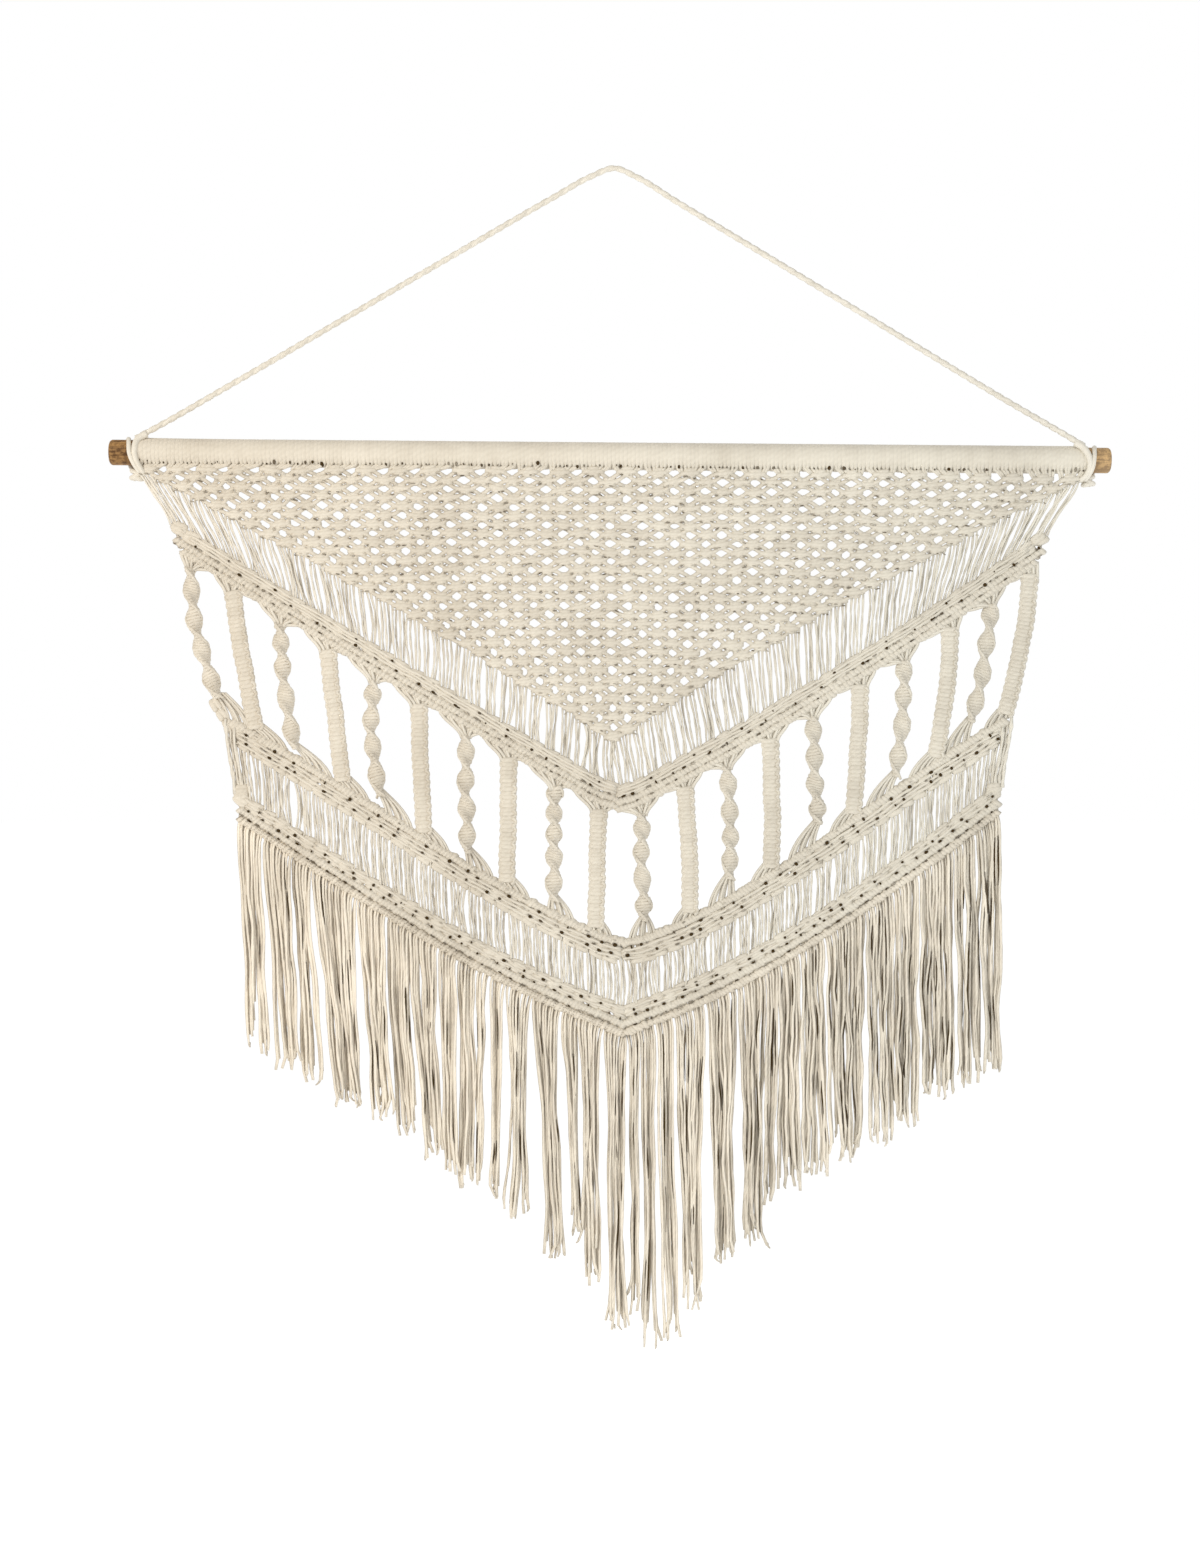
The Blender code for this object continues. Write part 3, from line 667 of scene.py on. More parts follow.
def square_knot(
    strings, place, tilt, wide, deep, levels, tall, thick, narrow, stagger=0.0, lean=0.5
):
    """Strings laid round the knot's core, each a ring, a little slanted."""
    across, down, front = place
    phi = circle(10) + 0.13
    c, s = np.cos(phi), np.sin(phi)
    ct, st = math.cos(tilt), math.sin(tilt)
    facing = np.array([st, 0.0, ct])
    most = max(abs(v) for v in levels) + 1e-6
    tone = uniform(0.1, 0.8)
    for k, level in enumerate(levels):
        slant = (lean if k < len(levels) / 2 else -lean) + jitter(0.25)
        w = wide * (1.0 - narrow * (level / most) ** 2) + jitter(0.25)
        u = w * lump(c, 0.85) + jitter(1.0) * stagger
        out = deep * (1.0 - 0.16 * (level / most) ** 2) * lump(s, 0.8)
        v = level * (1.0 - 0.30 * np.abs(c) ** 4) + slant * c
        x = across + u * ct + v * st
        y = down + u * st - v * ct
        shade = tone + uniform(-0.1, 0.1)
        ring = at(x, y, front + out)
        strings.add(ring, facing, thick, tall, sides=5, closed=True, tone=shade)


def gap_shadow(strings, place, run, reach, size, tone):
    """Painted shadow: a short dark strand for the shade in a gap between strings."""
    t = np.array([-1.0, 0.0, 1.0])[:, None]
    radius = size * np.array([0.6, 1.0, 0.6])
    strings.add(place + t * run * reach, FRONT, radius, 0.8, sides=4, tone=tone)


def heading():
    strings = Strings()
    pitch = (HEADING[1] - HEADING[0]) / (2 * HALF_STRINGS)
    angles = np.linspace(-56, 238, 19)
    for j in range(2 * HALF_STRINGS):
        x = HEADING[0] + pitch * (j + 0.5)
        twin = 1.0 - 2.0 * (j % 2)
        knot = NET[0][j // 8]
        target = knot[0] - HANGER_AT[0] + ((j % 8) - 3.5) * 2.7
        z = HANGER_AT[1] - knot[1]
        pinch = twin * (0.45 + jitter(0.22)) * np.clip((-30 - angles) / 24.0, 0, 1)
        radius = 13.5 + 0.9 * math.exp(-j / 10.0) + jitter(0.03)
        ring = round_dowel(x + pinch + wander(len(angles), 0.06), angles, radius)
        low = (x + pinch[0] + (target - x) * 0.40, -8.3, axis(x) - 13.7)
        last = (target, -7.6 + 1.0 * (j % 2), z + 0.8)
        path = np.concatenate([[last, low], ring])
        wide = np.full(len(path), 3.3)
        wide[:5] = (1.5, 1.6, 1.75, 2.3, 2.9)
        thick = np.full(len(path), 0.8)
        thick[:3] = (1.4, 1.4, 1.1)
        strings.add(path, ALONG, thick, wide, sides=7, tone=uniform(0.3, 0.55))
    for j in range(HALF_STRINGS):
        x = HEADING[0] + pitch * (2 * j + 1)
        # Under-wraps a shade darker than the wraps: painted shade under the dowel.
        under = round_dowel(x, np.linspace(-128, -18, 8), 13.1)
        strings.add(under, ALONG, 0.6, 4.6, sides=5, tone=uniform(0.5, 1.0))
        # Painted shadow: a dark mark in some notches at the front of the dowel's underside.
        if uniform() < 0.55:
            low = -47.0 - 3.0 * (x > 0) + jitter(4.0)
            notch_shadow = round_dowel(x + jitter(1.0), low, 14.7)
            run = (jitter(0.2), 0.6, -0.8)
            size = 0.6 + 1.3 * uniform() ** 2
            gap_shadow(strings, notch_shadow, run, size * uniform(0.9, 1.6), size, uniform(1.7, 2.6))
        t = np.linspace(-1, 1, 7)
        line = round_dowel(x + 3.5 * t, 214 + jitter(1.0), 14.6 + 2.0 * (1 - t**4))
        strings.add(line, UP, 1.4, 1.9)
    strings.piece("heading_wraps", KNOTTED, *PANEL)


def net():
    upper, lower = Strings(), Strings()
    for r, row in enumerate(NET):
        strings = upper if r < 11 else lower
        for place in row:
            tilt = jitter(0.09)
            size = 1.0 + jitter(0.05)
            levels = (2.8 * size, 0.0, -2.8 * size)
            square_knot(strings, place, tilt, 9.8 * size, 2.0, levels, 2.8, 1.6, narrow=0.44)
            # Painted shadow: small dark marks beside and below each knot.
            for side in (-1.0, 1.0, rng.choice((-0.2, 0.3))):
                x = place[0] + side * (6.6 + jitter(1.0))
                y = place[1] + 4.3 + jitter(0.8)
                run = (1.0, 0.0, -side * uniform(-0.5, 0.6))
                reach = uniform(0.9, 2.4)
                gap_shadow(strings, at(x, y, place[2] + 2.9), run, reach, 0.7, uniform(0.7, 1.9))
        if r + 1 < ROWS:
            for k, (x, y, front) in enumerate(NET[r + 1]):
                for other in (row[k], row[k + 1]):
                    a, d = at(*other), at(x, y, front)
                    run = unit(d - a)
                    beside = np.cross(FRONT, run)
                    for off, depth in ((-2.35, 0.5), (2.35, 0.9)):
                        off += jitter(0.2)
                        t = np.array([0.14, 0.5, 0.86])[:, None]
                        line = a + (d - a) * t + beside * (off * np.array([1.0, 1.2, 1.0]))[:, None]
                        line = line + FRONT * (depth + np.array([[0.3], [0.0], [0.3]]))
                        strings.add(line, FRONT, 2.25, 1.8, sides=5)
    upper.piece("net_upper_rows", KNOTTED, *PANEL)
    lower.piece("net_lower_rows", KNOTTED, *PANEL)


# Upper ladder: four strings from each end knot of each row of the net.


def pair(strings, line, coil, radius, lay, tones, deep, ease=1.0):
    """A hanging string's two loose plies, with painted shade: darker where they lie further back.
    """
    turn = run_length(line) * math.tau / lay + uniform(0, math.tau)
    reach = np.broadcast_to(coil * ease, len(line))[:, None]
    first = uniform(*tones)
    for k in (0, 1):
        ply = line + turned(turn + k * math.pi, ALONG, FRONT) * reach
        tone = first + k * uniform(0.0, 0.3) + deep * np.clip(ply[:, 1], -4.0, 4.0)
        strings.add(ply, FRONT, radius, sides=5, tone=tone)


def hang(strings, line, sideways, waves, coil, radius, longest_lay):
    """A ladder's string, swayed between its two ends."""
    count = len(line)
    middle = np.sin(np.linspace(0, 1, count) * math.pi)
    line[:, 0] += (sideways + wander(count, waves[0])) * middle
    line[:, 1] += (wander(count, waves[1]) + jitter(waves[2])) * middle
    pair(strings, line, coil, radius, uniform(26, longest_lay), (-0.4, 0.3), 0.22)


def upper_ladder():
    strings = Strings()
    for half in HALVES:
        knots = half.knots("upper", 8.0 - UPPER_THICK)
        for row, (kx, ky, _) in zip(NET, knots):
            x, y, front = row[0] if half is LEFT else row[-1]
            split = uniform(-1.2, 1.6)
            sway = jitter(1.1)
            for i in range(4):
                out = half.sign * (i - 1.5)
                left = x - half.sign * 4.0 + out * 3.6
                a = at(left, y + 0.4 + 0.9 * i, front + 1.0 - 0.9 * (i % 2))
                d = at(kx + out * 2.9, ky - 4.2, 1.0 - 0.8 * (i % 2))
                span = d - a
                slack = np.array([span[0] * 0.16, 0, span[2] * 0.30])
                twin = half.sign * (-1.0 if i < 2 else 1.0)
                sideways = twin * split + sway + jitter(0.6)
                line = bezier(a, a + slack, d - slack, d, 9)
                hang(strings, line, sideways, (0.7, 1.0, 1.3), 0.52, 0.90, 80)
    strings.piece("upper_ladder_strings", STRING, *PANEL)


# Bands: rows of small four-string knots, and ridges of hitches over a cord.


class Band:
    """One half of a band. An offset is how far down from the line, after adding base."""

    def __init__(self, strings, half, level, base=0.0):
        self.strings, self.half, self.level, self.base = strings, half, level, base

    def spot(self, number, offset):
        x, y = self.half.spot(self.level, number)
        return x, y + (offset + self.base)

    def places(self, offset, shift=0.0):
        return self.half.knots(self.level, offset + self.base, shift)

    def knots(self, places, wide, levels, tall, deep, tuck=2.0):
        for k, (x, y, front) in enumerate(places):
            end = tuck * max(0, 2 - k)
            place = (x + self.half.sign * end + jitter(0.35), y + jitter(0.3), front)
            tilt = self.half.slant(self.level, x) * 0.92 + jitter(0.07)
            reach = wide - 0.4 * end + jitter(0.3)
            square_knot(self.strings, place, tilt, reach, deep, levels, tall, 1.5, 0.12, 0.9, 0.7)

    def directions(self, across):
        """Unit vectors along the band and up from it."""
        angle = self.half.slant(self.level, across)
        c, s = math.cos(angle), math.sin(angle)
        return np.array([c, 0.0, -s]), np.array([s, 0.0, c])

    def gap_shadows(self, offset, front, every, loose, reach, size, tone):
        """Painted shadow: short dark strands along the band, for the shade in its gaps, one every
        so many strings.
        """
        number = uniform(0.3, 1.0) * every
        while number < HALF_STRINGS - 1.5:
            x, y = self.spot(number, offset)
            place = at(x, y + jitter(0.5), front)
            run, _ = self.directions(x)
            dark = tone + uniform(-0.7, 0.3)
            wide = size * uniform(0.65, 1.2)
            gap_shadow(self.strings, place, run, reach * uniform(0.5, 1.4), wide, dark)
            number += every * uniform(1.0 - loose, 1.0 + loose)

    def ridge(self, offset, half_tall, half_deep, first=1):
        """A hitch for each string, laid over a cord that runs along the band."""
        half, level = self.half, self.level
        phi = circle(8)
        for j in range(first, HALF_STRINGS):
            x = half.across(level, j) + jitter(0.12)
            y = half.down(level, x) + (offset + self.base) + jitter(0.15)
            run, up = self.directions(x)
            size = 1.0 + jitter(0.02)
            taller = 1.30 if uniform() < 0.4 else 1.0
            ring = (
                at(x, y)
                + np.outer(np.cos(phi), up) * (half_tall * taller - 1.2) * size
                + np.outer(np.sin(phi), FRONT) * (half_deep - 1.2) * size
                + np.outer(np.cos(phi) * (np.sin(phi) > -0.2), run) * half.sign * 1.5
            )
            tone = uniform(0.25, 0.6)
            self.strings.add(ring, run, 1.25, 3.3, sides=5, closed=True, tone=tone)
        core = at(*self.spot(np.linspace(first - 0.3, LAST_NUMBER, 40), offset))
        self.strings.add(core, FRONT, half_tall - 1.6, half_deep - 1.6)

    def through(self, start, end, knots, first=0.0):
        """Short lengths of every string between two layers of the band, darker than the rest:
        painted shade where they show through its gaps.
        """
        for j in range(HALF_STRINGS):
            x, y = self.spot(max(j, first), start)
            a = at(x + (knots[j // 4, 0] - x) * 0.6, y, -0.4)
            d = at(*self.spot(max(j, first), end), -0.4)
            tone = uniform(0.5, 1.3)
            self.strings.add(np.stack([a, (a + d) / 2, d]), FRONT, 1.8, 1.5, sides=5, tone=tone)

    def weave(self, offsets, front, first=2.5):
        """Long strings that run along the band, in and out of its knots."""
        for offset in offsets:
            x, y = self.spot(np.linspace(first, LAST_NUMBER, 76), offset)
            run = at(x, y + wander(76, 0.9, 16.0), front + wander(76, 0.8, 25.0))
            self.strings.add(run, FRONT, 1.6, 1.1, sides=5, tone=uniform(0.1, 0.5))


# Each row of painted gap shadows: offset, front, every, loose, reach, size, tone.

UPPER_GAP_SHADOWS = (
    (5.0, 3.1, 8.0, 0.7, 1.8, 0.8, 1.5),
    (13.8, 3.3, 4.6, 0.6, 2.0, 1.0, 1.9),
    (21.8, 3.0, 3.2, 0.6, 1.8, 0.8, 1.8),
    (13.2, 4.1, 7.5, 0.6, 1.5, 1.7, 2.8),
    (6.4, 3.9, 16.0, 0.6, 1.2, 1.4, 2.6),
)
MIDDLE_GAP_SHADOWS = (
    (4.2, 4.3, 9.0, 0.7, 1.8, 0.8, 1.4),
    (9.4, 3.9, 6.5, 0.6, 1.5, 1.8, 2.8),
    (14.2, 3.6, 7.0, 0.7, 1.7, 0.8, 1.6),
    (18.4, 3.9, 6.0, 0.6, 1.5, 1.7, 2.7),
    (22.6, 3.4, 7.0, 0.7, 1.7, 0.8, 1.6),
)
LOWER_GAP_SHADOWS = (
    (3.4, 3.8, 8.0, 0.7, 1.7, 0.8, 1.5),
    (6.6, 3.9, 7.0, 0.6, 1.4, 1.5, 2.7),
    (12.6, 3.8, 4.6, 0.4, 1.5, 1.5, 2.7),
    (21.8, 3.4, 2.8, 0.5, 1.9, 0.8, 2.0),
)


def upper_band():
    strings = Strings()
    for half in HALVES:
        band = Band(strings, half, "upper", -UPPER_THICK)
        knots = band.places(8.0)
        band.knots(knots, 9.4, (3.9, 0.1, -3.7), 3.1, 1.9)
        band.weave((4.6, 8.2, 11.6), 2.7, 5.5)
        band.through(5.0, 24.0, knots, 2.6)
        band.ridge(18.2, 3.8, 4.0, first=2)
        band.ridge(25.2, 3.8, 3.8, first=4)
        for shadow_row in UPPER_GAP_SHADOWS:
            band.gap_shadows(*shadow_row)
    strings.piece("upper_band_knots", KNOTTED, *PANEL)


def middle_band():
    strings = Strings()
    for half in HALVES:
        band = Band(strings, half, "middle")
        first, second = band.places(14.3), band.places(22.6, 2.0)[:29]
        for places in (first, second):
            band.knots(places, 8.0, (2.1, -2.1), 3.2, 2.0)
        if half is LEFT:
            for k in range(3):
                outer = first[0] - (6.0 + 6.6 * k, 9.0 + 10.2 * k, 0.0)
                square_knot(strings, outer, 0.95, 7.0, 2.0, (2.3, -2.3), 3.2, 1.5, narrow=0.2)
        band.ridge(4.6, 4.4, 4.2)
        band.through(23.0, 5.0, first)
        band.weave((11.6, 16.2, 20.8), 2.6)
        for shadow_row in MIDDLE_GAP_SHADOWS:
            band.gap_shadows(*shadow_row)
    strings.piece("middle_band_knots", KNOTTED, *PANEL)


def lower_band():
    strings = Strings()
    levels = (3.6, 0.1, -3.6)
    for half in HALVES:
        band = Band(strings, half, "lower")
        knots = band.places(6.2)
        band.knots(knots, 7.9, levels, 3.3, 2.0, tuck=-0.4 if half is LEFT else 0.6)
        outer = knots[0] - ((1.2, 9.5, 0.0) if half is LEFT else (0.8, 4.5, 0.0))
        square_knot(strings, outer, 0.0, 6.8, 2.0, levels, 3.3, 1.5, narrow=0.05)
        band.through(3.0, 25.0, knots, 0.8)
        band.ridge(17.2, 4.2, 4.2)
        band.weave((3.4, 9.0), 2.6)
        for shadow_row in LOWER_GAP_SHADOWS:
            band.gap_shadows(*shadow_row)
    strings.piece("lower_band_knots", KNOTTED, *PANEL)


# Twenty columns between the bands, twisted and flat by turns: top, middle and bottom across.

COLUMNS = [
    (-423, -416, -392), (-381, -371, -358), (-333, -330, -319), (-286, -279, -271),
    (-240, -242, -232), (-195, -193, -190), (-148, -148, -146), (-105, -106, -107),
    (-59, -60, -60), (-15, -17, -18), (28, 28, 31), (71, 75, 76), (113, 116, 115),
    (156, 158, 157), (199, 201, 205), (246, 244, 239), (290, 288, 281), (336, 332, 321),
    (377, 369, 354), (416, 407.5, 391),
]
TWIST_LENGTH = 27.0
WAISTS = {
    0: (574, 604, 633.5, 664.5, 694),
    2: (630, 653, 679.5, 714.5, 745),
    4: (683, 705, 732, 760, 791),
    6: (738, 766, 794, 822, 848.5),
    8: (803.5, 823, 845, 869, 896),
    10: (817, 840, 864, 894.5, 916.5),
    12: (771, 798.5, 826, 848, 874),
    14: (718, 744, 772, 798, 820),
    16: (658, 684.5, 710.5, 743.5, 772),
    18: (602, 629.5, 659.5, 689, 718),
}


def half_turns(index, down):
    """How many half turns a twisted column has made at a height: whole at its narrow places."""
    marks = np.array(WAISTS[index], float)
    marks = np.concatenate([[2 * marks[0] - marks[1]], marks, [2 * marks[-1] - marks[-2]]])
    return np.interp(down, marks, np.arange(len(marks)))


def column_line(index):
    """Centre line of one column, and the half that it belongs to."""
    half = LEFT if index < 10 else RIGHT
    top, middle, bottom = (c + HANGER_AT[0] for c in COLUMNS[index])
    twist = index % 2 == 0
    start = half.down("upper", top) + (8.0 if twist else 5.0)
    end = half.down("middle", bottom) - (8.0 if twist else 3.0)
    stop = WAISTS[index][-1] + 3.0 if twist else end
    t = np.linspace(0, (stop - start) / (end - start), 60)
    x = top * (1 - t) * (1 - 2 * t) + middle * 4 * t * (1 - t) + bottom * t * (2 * t - 1)
    x += wander(60, 0.7, 3.0) * np.sin(t * math.pi)
    return half, twist, at(x, start + (end - start) * t, 0.0)


def column(strings, index, twist, line):
    far = run_length(line)
    length = far[-1]

    def along(where):
        return np.array([np.interp(where, far, line[:, i]) for i in range(3)])

    phi = circle(14)
    c, s = np.cos(phi)[:, None], np.sin(phi)[:, None]
    pitch, depth, tall, thick = (2.9, 2.6, 2.25, 1.45) if twist else (3.9, 2.9, 3.0, 1.6)
    count = int(length / pitch)
    count -= count % 2
    pitch = length / count
    for k in range(count):
        where = (k + 0.5) * pitch
        centre = along(where)
        down = unit(along(min(where + 1.0, length)) - along(max(where - 1.0, 0)))
        wide = unit(ALONG - ALONG @ down * down)
        deep = np.cross(wide, down)
        if twist:
            a = math.pi * (half_turns(index, HANGER_AT[1] - centre[2]) + 0.5)
            reach = 7.2 * (1.0 + 0.04 * math.sin(where * 0.19 + index))
            slant = 1.6
        else:
            a = 0.06 * math.sin(where * 0.1 + index)
            reach = 6.7 + 1.2 * math.exp(-min(where, 60) / 8.0)
            slant = 0.45 if k % 2 else -0.45
        across, beside = turned(a, wide, deep), turned(a, deep, -wide)
        ring = (
            centre
            + lump(c, 0.9) * across * (reach + jitter(0.10))
            + lump(s, 0.85) * beside * (depth + jitter(0.08))
            + (c * slant + jitter(0.12)) * down
        )
        tone = 0.45 + uniform(-0.25, 0.25)
        strings.add(ring, down, thick, tall, closed=True, tone=tone)
        t = np.linspace(-1, 1, 7)[:, None]
        if twist and k % 3 == 1:
            for side in (-1.0, 1.0):
                spin = math.pi * t[:, 0] * pitch * 1.6 / TWIST_LENGTH
                around = turned(spin, across, beside)
                out = reach + 0.1 + 0.7 * (1 - t**2)
                ear = centre + side * around * out + down * t * pitch * 1.6
                strings.add(ear, around, 1.5, 1.3)
        if not twist and k % 2 == 1:
            for side, lift in ((1.0, 1.0), (-1.0, 0.35)):
                out = reach * 0.62 + (reach * 0.38 + 0.6) * (1 - np.abs(t) ** 3.0)
                ear = centre + side * across * out + down * t * pitch * 0.98
                ear += FRONT * (depth + 1.1) * lift * (0.45 + 0.55 * np.abs(t))
                strings.add(ear, FRONT, 1.6, 1.5)


def columns():
    """Makes the columns and gives their centre lines."""
    left, right = Strings(), Strings()
    lines = []
    for index in range(20):
        half, twist, line = column_line(index)
        column(left if index < 10 else right, index, twist, line)
        lines.append((half, twist, line))
    left.piece("columns_left_half", KNOTTED, *PANEL)
    right.piece("columns_right_half", KNOTTED, *PANEL)
    return lines


def fans(lines):
    """Strings that leave the upper band for a column, and a column for the middle band."""
    strings = Strings()
    for index, (half, twist, line) in enumerate(lines):
        number = COLUMN_STRINGS * (index if index < 10 else 19 - index)
        top, bottom = line[0], line[-1]
        spread = 0.70 if twist else 1.30
        for i in range(COLUMN_STRINGS):
            place = (i - 5.5) * half.sign
            layer = (1.9, -1.6, 0.4)[i % 3]
            x = half.across("upper", number + i)
            x += half.sign * 2.2 * max(0, 5 - number - i)
            y = half.down("upper", x) - 3.0
            a = at(x, y, layer * 0.6)
            d = np.array([top[0] + place * spread, -layer, top[2] - 3.0])
            gap, drop = d[0] - a[0], a[2] - d[2]
            downhill = gap * half.sign < 0
            b = a + ((0.45 if downhill else 0.10) * gap, 0, -(1.0 if downhill else 0.42 * drop))
            c = d - (0.06 * gap, 0, -(3.5 if downhill else 0.40 * drop))
            tone = uniform(-0.5, 0.1)
            strings.add(bezier(a, b, c, d, 9), FRONT, 1.7, 1.6, tone=tone)
            here = bottom[0] + HANGER_AT[0]
            x = half.across("middle", number + i // 4 * 4 + 1.5)
            x = here + (x - here) * (0.78 if twist else 0.66) + half.sign * (i % 4 - 1.5) * 1.7
            if number == 0:
                x -= half.sign * 6.0 * (1 - i / COLUMN_STRINGS)
            y = half.down("middle", x) + 3.5
            d = at(x, y, layer * 0.6)
            narrow = 0.50 if twist else 1.30
            if index == 0:
                narrow = 1.25
            a = np.array([bottom[0] + place * narrow, -layer * 0.8, bottom[2] + 4.0])
            gap, drop = d[0] - a[0], a[2] - d[2]
            b = a + (0.34 * gap, 0, -0.24 * drop)
            c = d - (0.12 * gap, 0, -0.46 * drop)
            tone = uniform(-0.4, 0.3)
            strings.add(bezier(a, b, c, d, 8), FRONT, 1.4, 1.4, tone=tone)
    strings.piece("column_end_strings", STRING, *PANEL)


def lower_ladder():
    strings = Strings()
    for half in HALVES:
        first = half.knots("middle", 22.0, 2.0)
        second = half.knots("lower", 6.0)
        group = None
        for j in range(HALF_STRINGS):
            if j < 2 or j >= 118:
                x, y = half.spot("middle", j)
                a = at(x, y + 16, 0)
            else:
                i = (j - 2) % 4
                top = first[(j - 2) // 4]
                a = at(top[0] + half.sign * (i - 1.5) * 3.0, top[1] + 2.0, 1.0 - 0.8 * (i % 2))
            low = second[j // 4]
            i = j % 4
            d = at(low[0] + half.sign * (i - 1.5) * 2.8, low[1] - 2.0, 1.0 - 0.8 * (i % 2))
            if j % 3 == 0 or group is None:
                group = jitter(1.5)
            if j < 4:
                x = half.across("middle", j) - half.sign * (4.0 - j)
                a = at(x, half.down("middle", x) + 4.0 + 2.0 * j, 2.0 - 1.6 * (j % 2))
                d[0] -= half.sign * (3.2 - 0.8 * j)
                d[2] += 4.0
                group = 0.0
            a[0] += 0.7 * (d[0] - a[0]) * np.clip((j - 3) / 5.0, 0, 1)
            drop = a[2] - d[2]
            line = bezier(a, a + (0, 0, -0.3 * drop), d + (0, 0, 0.3 * drop), d, 8)
            full = 0.12 * max(0, 6 - j)
            hang(strings, line, group, (0.6, 0.8, 1.2), 0.55 + 0.4 * full, 0.92 + full, 70)
    strings.piece("lower_ladder_strings", STRING, *PANEL)


# Fringe: thirty locks, each with its right edge at the root, its tip's two edges and its end.

LOCKS = [
    (-352, -366, -343, -884), (-324, -334, -313, -901), (-302, -312, -285, -910),
    (-259, -274, -251, -932), (-229, -239, -219, -946), (-206, -216, -196, -964),
    (-176, -189, -173, -986), (-156, -171, -155, -1004), (-126, -152, -129, -1015),
    (-108, -125, -113, -1024), (-82, -110, -82, -1045), (-53, -68, -47, -1087),
    (-38, -42, -31, -1064), (-12, -30, -10, -1114), (14, -9, 15, -1155), (27, 17, 26, -1142),
    (42, 27, 46, -1174), (61, 48, 66, -1171), (94, 69, 89, -1142), (124, 104, 119, -1090),
    (151, 130, 144, -1074), (166, 149, 162, -1034), (186, 166, 186, -1020),
    (211, 188, 214, -1004), (251, 216, 249, -988), (281, 254, 281, -973), (306, 282, 304, -953),
    (341, 308, 340, -926), (361, 343, 364, -915), (386, 366, 386, -899),
]
FRINGE_START = -377.0


def fringe():
    strings = Strings()
    locks = np.array(LOCKS, float)
    ends = np.concatenate([[FRINGE_START], locks[:, 0]])
    count = 22
    t = np.linspace(0, 1, count)
    for half in HALVES:
        remaining = 0
        for j in range(HALF_STRINGS):
            if remaining == 0:
                remaining = rng.integers(2, 5)
                together = wander(count, 1.5, 2.2)
            remaining -= 1
            across, down = half.spot("lower", j)
            root = across - HANGER_AT[0]
            lock = np.clip(np.searchsorted(ends, root) - 1, 0, len(locks) - 1)
            share = np.clip((root - ends[lock]) / (ends[lock + 1] - ends[lock]), 0.03, 0.97)
            _, first, last, deep = locks[lock]
            tip_x = first + (last - first) * share + jitter(1.6)
            short = rng.gamma(1.6, 7.0)
            tip_z = deep + min(short, 48.0) - 3.0
            x0, y0, z0 = at(across, down + 26.5, uniform(-1.4, 1.4))
            middle = (first + last + ends[lock] + ends[lock + 1]) / 4
            fall = t * (z0 - tip_z)
            twin = half.sign * (0.6 - 1.2 * (j % 2))
            pull = 0.42 if -130 < root < 20 else (0.14 if root < 150 else 0.04)
            x = x0 + (tip_x - x0) * t**1.35
            x += (middle - (x0 + tip_x) / 2) * pull * np.sin(t * math.pi)
            wavy = wander(count, 0.6 + 0.5 * (root > 60), 3.0 + 1.4 * (root > 60))
            x += (together + wavy) * np.clip(t * 5, 0, 1)
            x += half.sign * 2.4 * np.exp(-fall / 5.0) + twin * np.exp(-fall / 24.0)
            y = y0 + wander(count, 2.0, 2.6) * np.clip(t * 3, 0, 1)
            y += jitter(2.0) * np.clip(t * 4, 0, 1)
            curl = np.clip((t - 0.93) / 0.07, 0, 1) ** 2
            x += curl * jitter(2.2)
            y += curl * jitter(1.8)
            line = np.stack([x, y, z0 - fall], axis=1)
            fuller = 0.12 * min(abs(root) / 250.0, 1.0) ** 2 + 0.05 * (abs(root) > 150)
            radius = np.full(count, 1.23 + fuller + jitter(0.08))
            radius[-2:] = (1.3, 1.0)
            spread = np.clip(t * 10, 0.5, 1) + 0.6 * curl
            grey = 0.05 + 0.15 * root / 400.0
            tones = (grey - 0.6, grey - 0.1)
            pair(strings, line, 0.42, radius, uniform(60, 200), tones, 0.09, spread)
            inward = 1.0 if (first + last) / 2 > line[count // 2, 0] else -1.0
            # Painted shade: dark strands behind the front ones, showing between them.
            if uniform() < (0.7 if -200 < root < 60 else 0.95):
                behind = line[:-1:2] + (inward * 1.6, 1.7, 0.0)
                dark = np.clip(0.1 + wander(11, 1.3, 2.4), -0.5, 2.5)
                strings.add(behind, FRONT, 1.15, 1.0, sides=4, tone=dark)
            for _ in range(rng.poisson(0.7 + 1.5 * np.clip((root + 50) / 300.0, 0, 1))):
                i, n = rng.integers(1, 17), rng.integers(3, 6)
                shadow = line[i : i + n] + (inward * 1.7, -1.1, 0.0)
                thin = np.sin(np.linspace(0.25, math.pi - 0.25, len(shadow)))
                dark = uniform(1.8, 2.6)
                strings.add(shadow, FRONT, uniform(0.5, 0.95) * thin, 0.5, sides=4, tone=dark)
            if j % 3 == 0:
                end = line[-1]
                drift = (jitter(1.6), jitter(1.2), -uniform(1.0, 4.0))
                begin = end + (jitter(0.5), jitter(0.5), 3.0)
                wisp = bezier(begin, begin - UP, end - UP, end + drift, 5)
                strings.add(wisp, FRONT, (1.1, 1.1, 1.05, 0.95, 0.6), sides=4)
    for half in HALVES:
        Band(strings, half, "lower").ridge(26.6, 3.7, 4.7)
    strings.piece("fringe_strings", FRINGE, "cotton", "fringe")


# Floor and light.


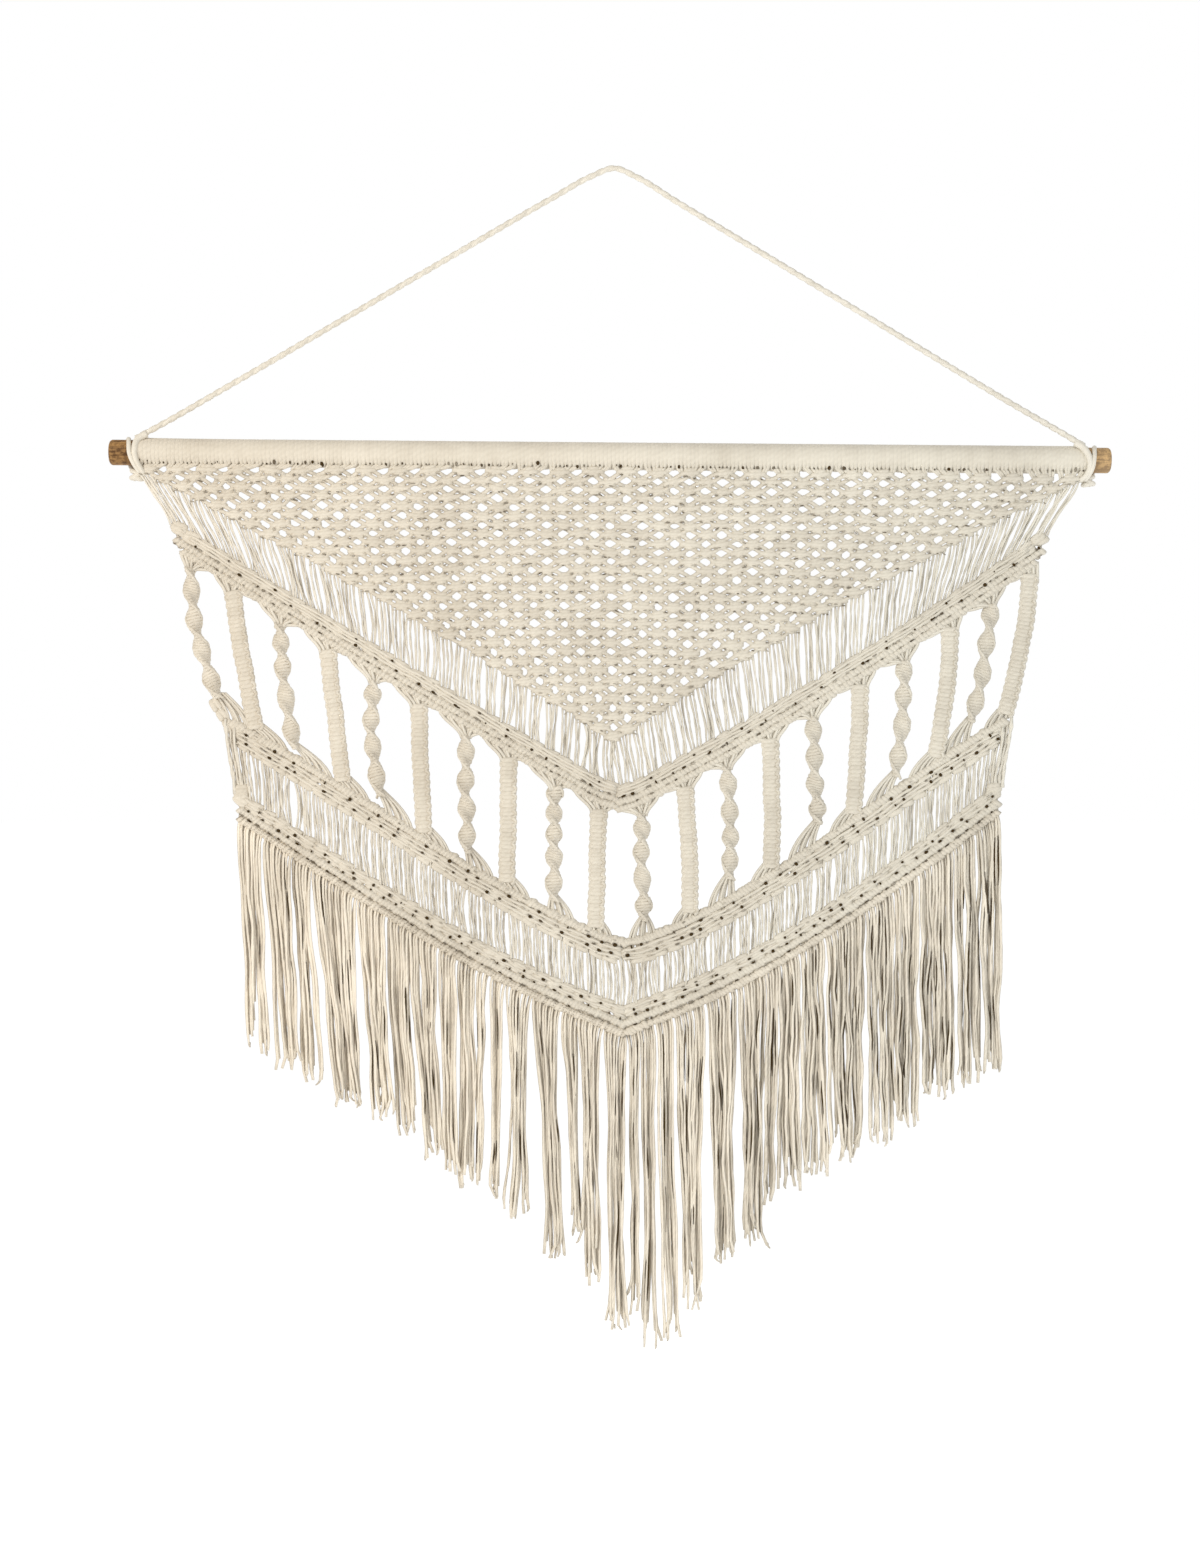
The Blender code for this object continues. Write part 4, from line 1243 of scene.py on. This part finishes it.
def floor():
    mesh = bpy.data.meshes.new("studio_floor")
    size, z = 60.0, -1.75
    mesh.from_pydata(
        [(-size, -size, z), (size, -size, z), (size, size, z), (-size, size, z)],
        [],
        [(0, 1, 2, 3)],
    )
    m = Nodes("studio_floor")
    looks = {
        "Base Color": (0.50, 0.50, 0.50, 1.0),
        "Roughness": 1.0,
        "Specular IOR Level": 0.0,
        "Emission Color": (1.0, 1.0, 1.0, 1.0),
        "Emission Strength": 0.78,
    }
    m.fill(m.shader, looks)
    mesh.materials.append(m.material)
    made = linked("studio_floor", mesh)


def area_light(name, place, target, size, power, colour):
    data = bpy.data.lights.new(name, "AREA")
    data.shape = "RECTANGLE"
    data.size, data.size_y = size
    data.energy = power
    data.color = colour
    made = linked(name, data)
    made.location = place
    aim = np.subtract(target, place)
    made.rotation_euler = (
        math.atan2(math.hypot(aim[0], aim[1]), -aim[2]),
        0.0,
        math.atan2(aim[0], -aim[1]) + math.pi,
    )


def light():
    world = bpy.data.worlds.new("studio")
    world.use_nodes = True
    tree = world.node_tree
    back = tree.nodes["Background"]
    back.inputs[0].default_value = (1.0, 1.0, 1.0, 1.0)
    path = tree.nodes.new("ShaderNodeLightPath")
    level = tree.nodes.new("ShaderNodeMapRange")
    level.inputs[3].default_value = 0.50
    level.inputs[4].default_value = 1.0
    tree.links.new(path.outputs["Is Camera Ray"], level.inputs[0])
    tree.links.new(level.outputs[0], back.inputs[1])
    bpy.context.scene.world = world
    area_light("key", (-2.3, -2.5, 0.9), (0.0, 0.0, -0.55), (1.6, 1.6), 66.0, (1.0, 0.965, 0.91))
    area_light("fill", (2.6, -2.6, -0.2), (0.0, 0.0, -0.6), (2.2, 2.2), 26.0, (0.93, 0.97, 1.0))
    area_light("back", (0.6, 2.8, 0.8), (0.0, 0.0, -0.6), (2.2, 2.2), 30.0, (1.0, 0.99, 0.97))


# Each piece's random draws depend on the pieces made before it.

dowel_mesh()
heading()
net()
upper_ladder()
upper_band()
middle_band()
lower_band()
fans(columns())
lower_ladder()
fringe()
floor()
light()
scene = bpy.context.scene
scene.view_settings.view_transform = "Standard"
scene.view_settings.look = "None"
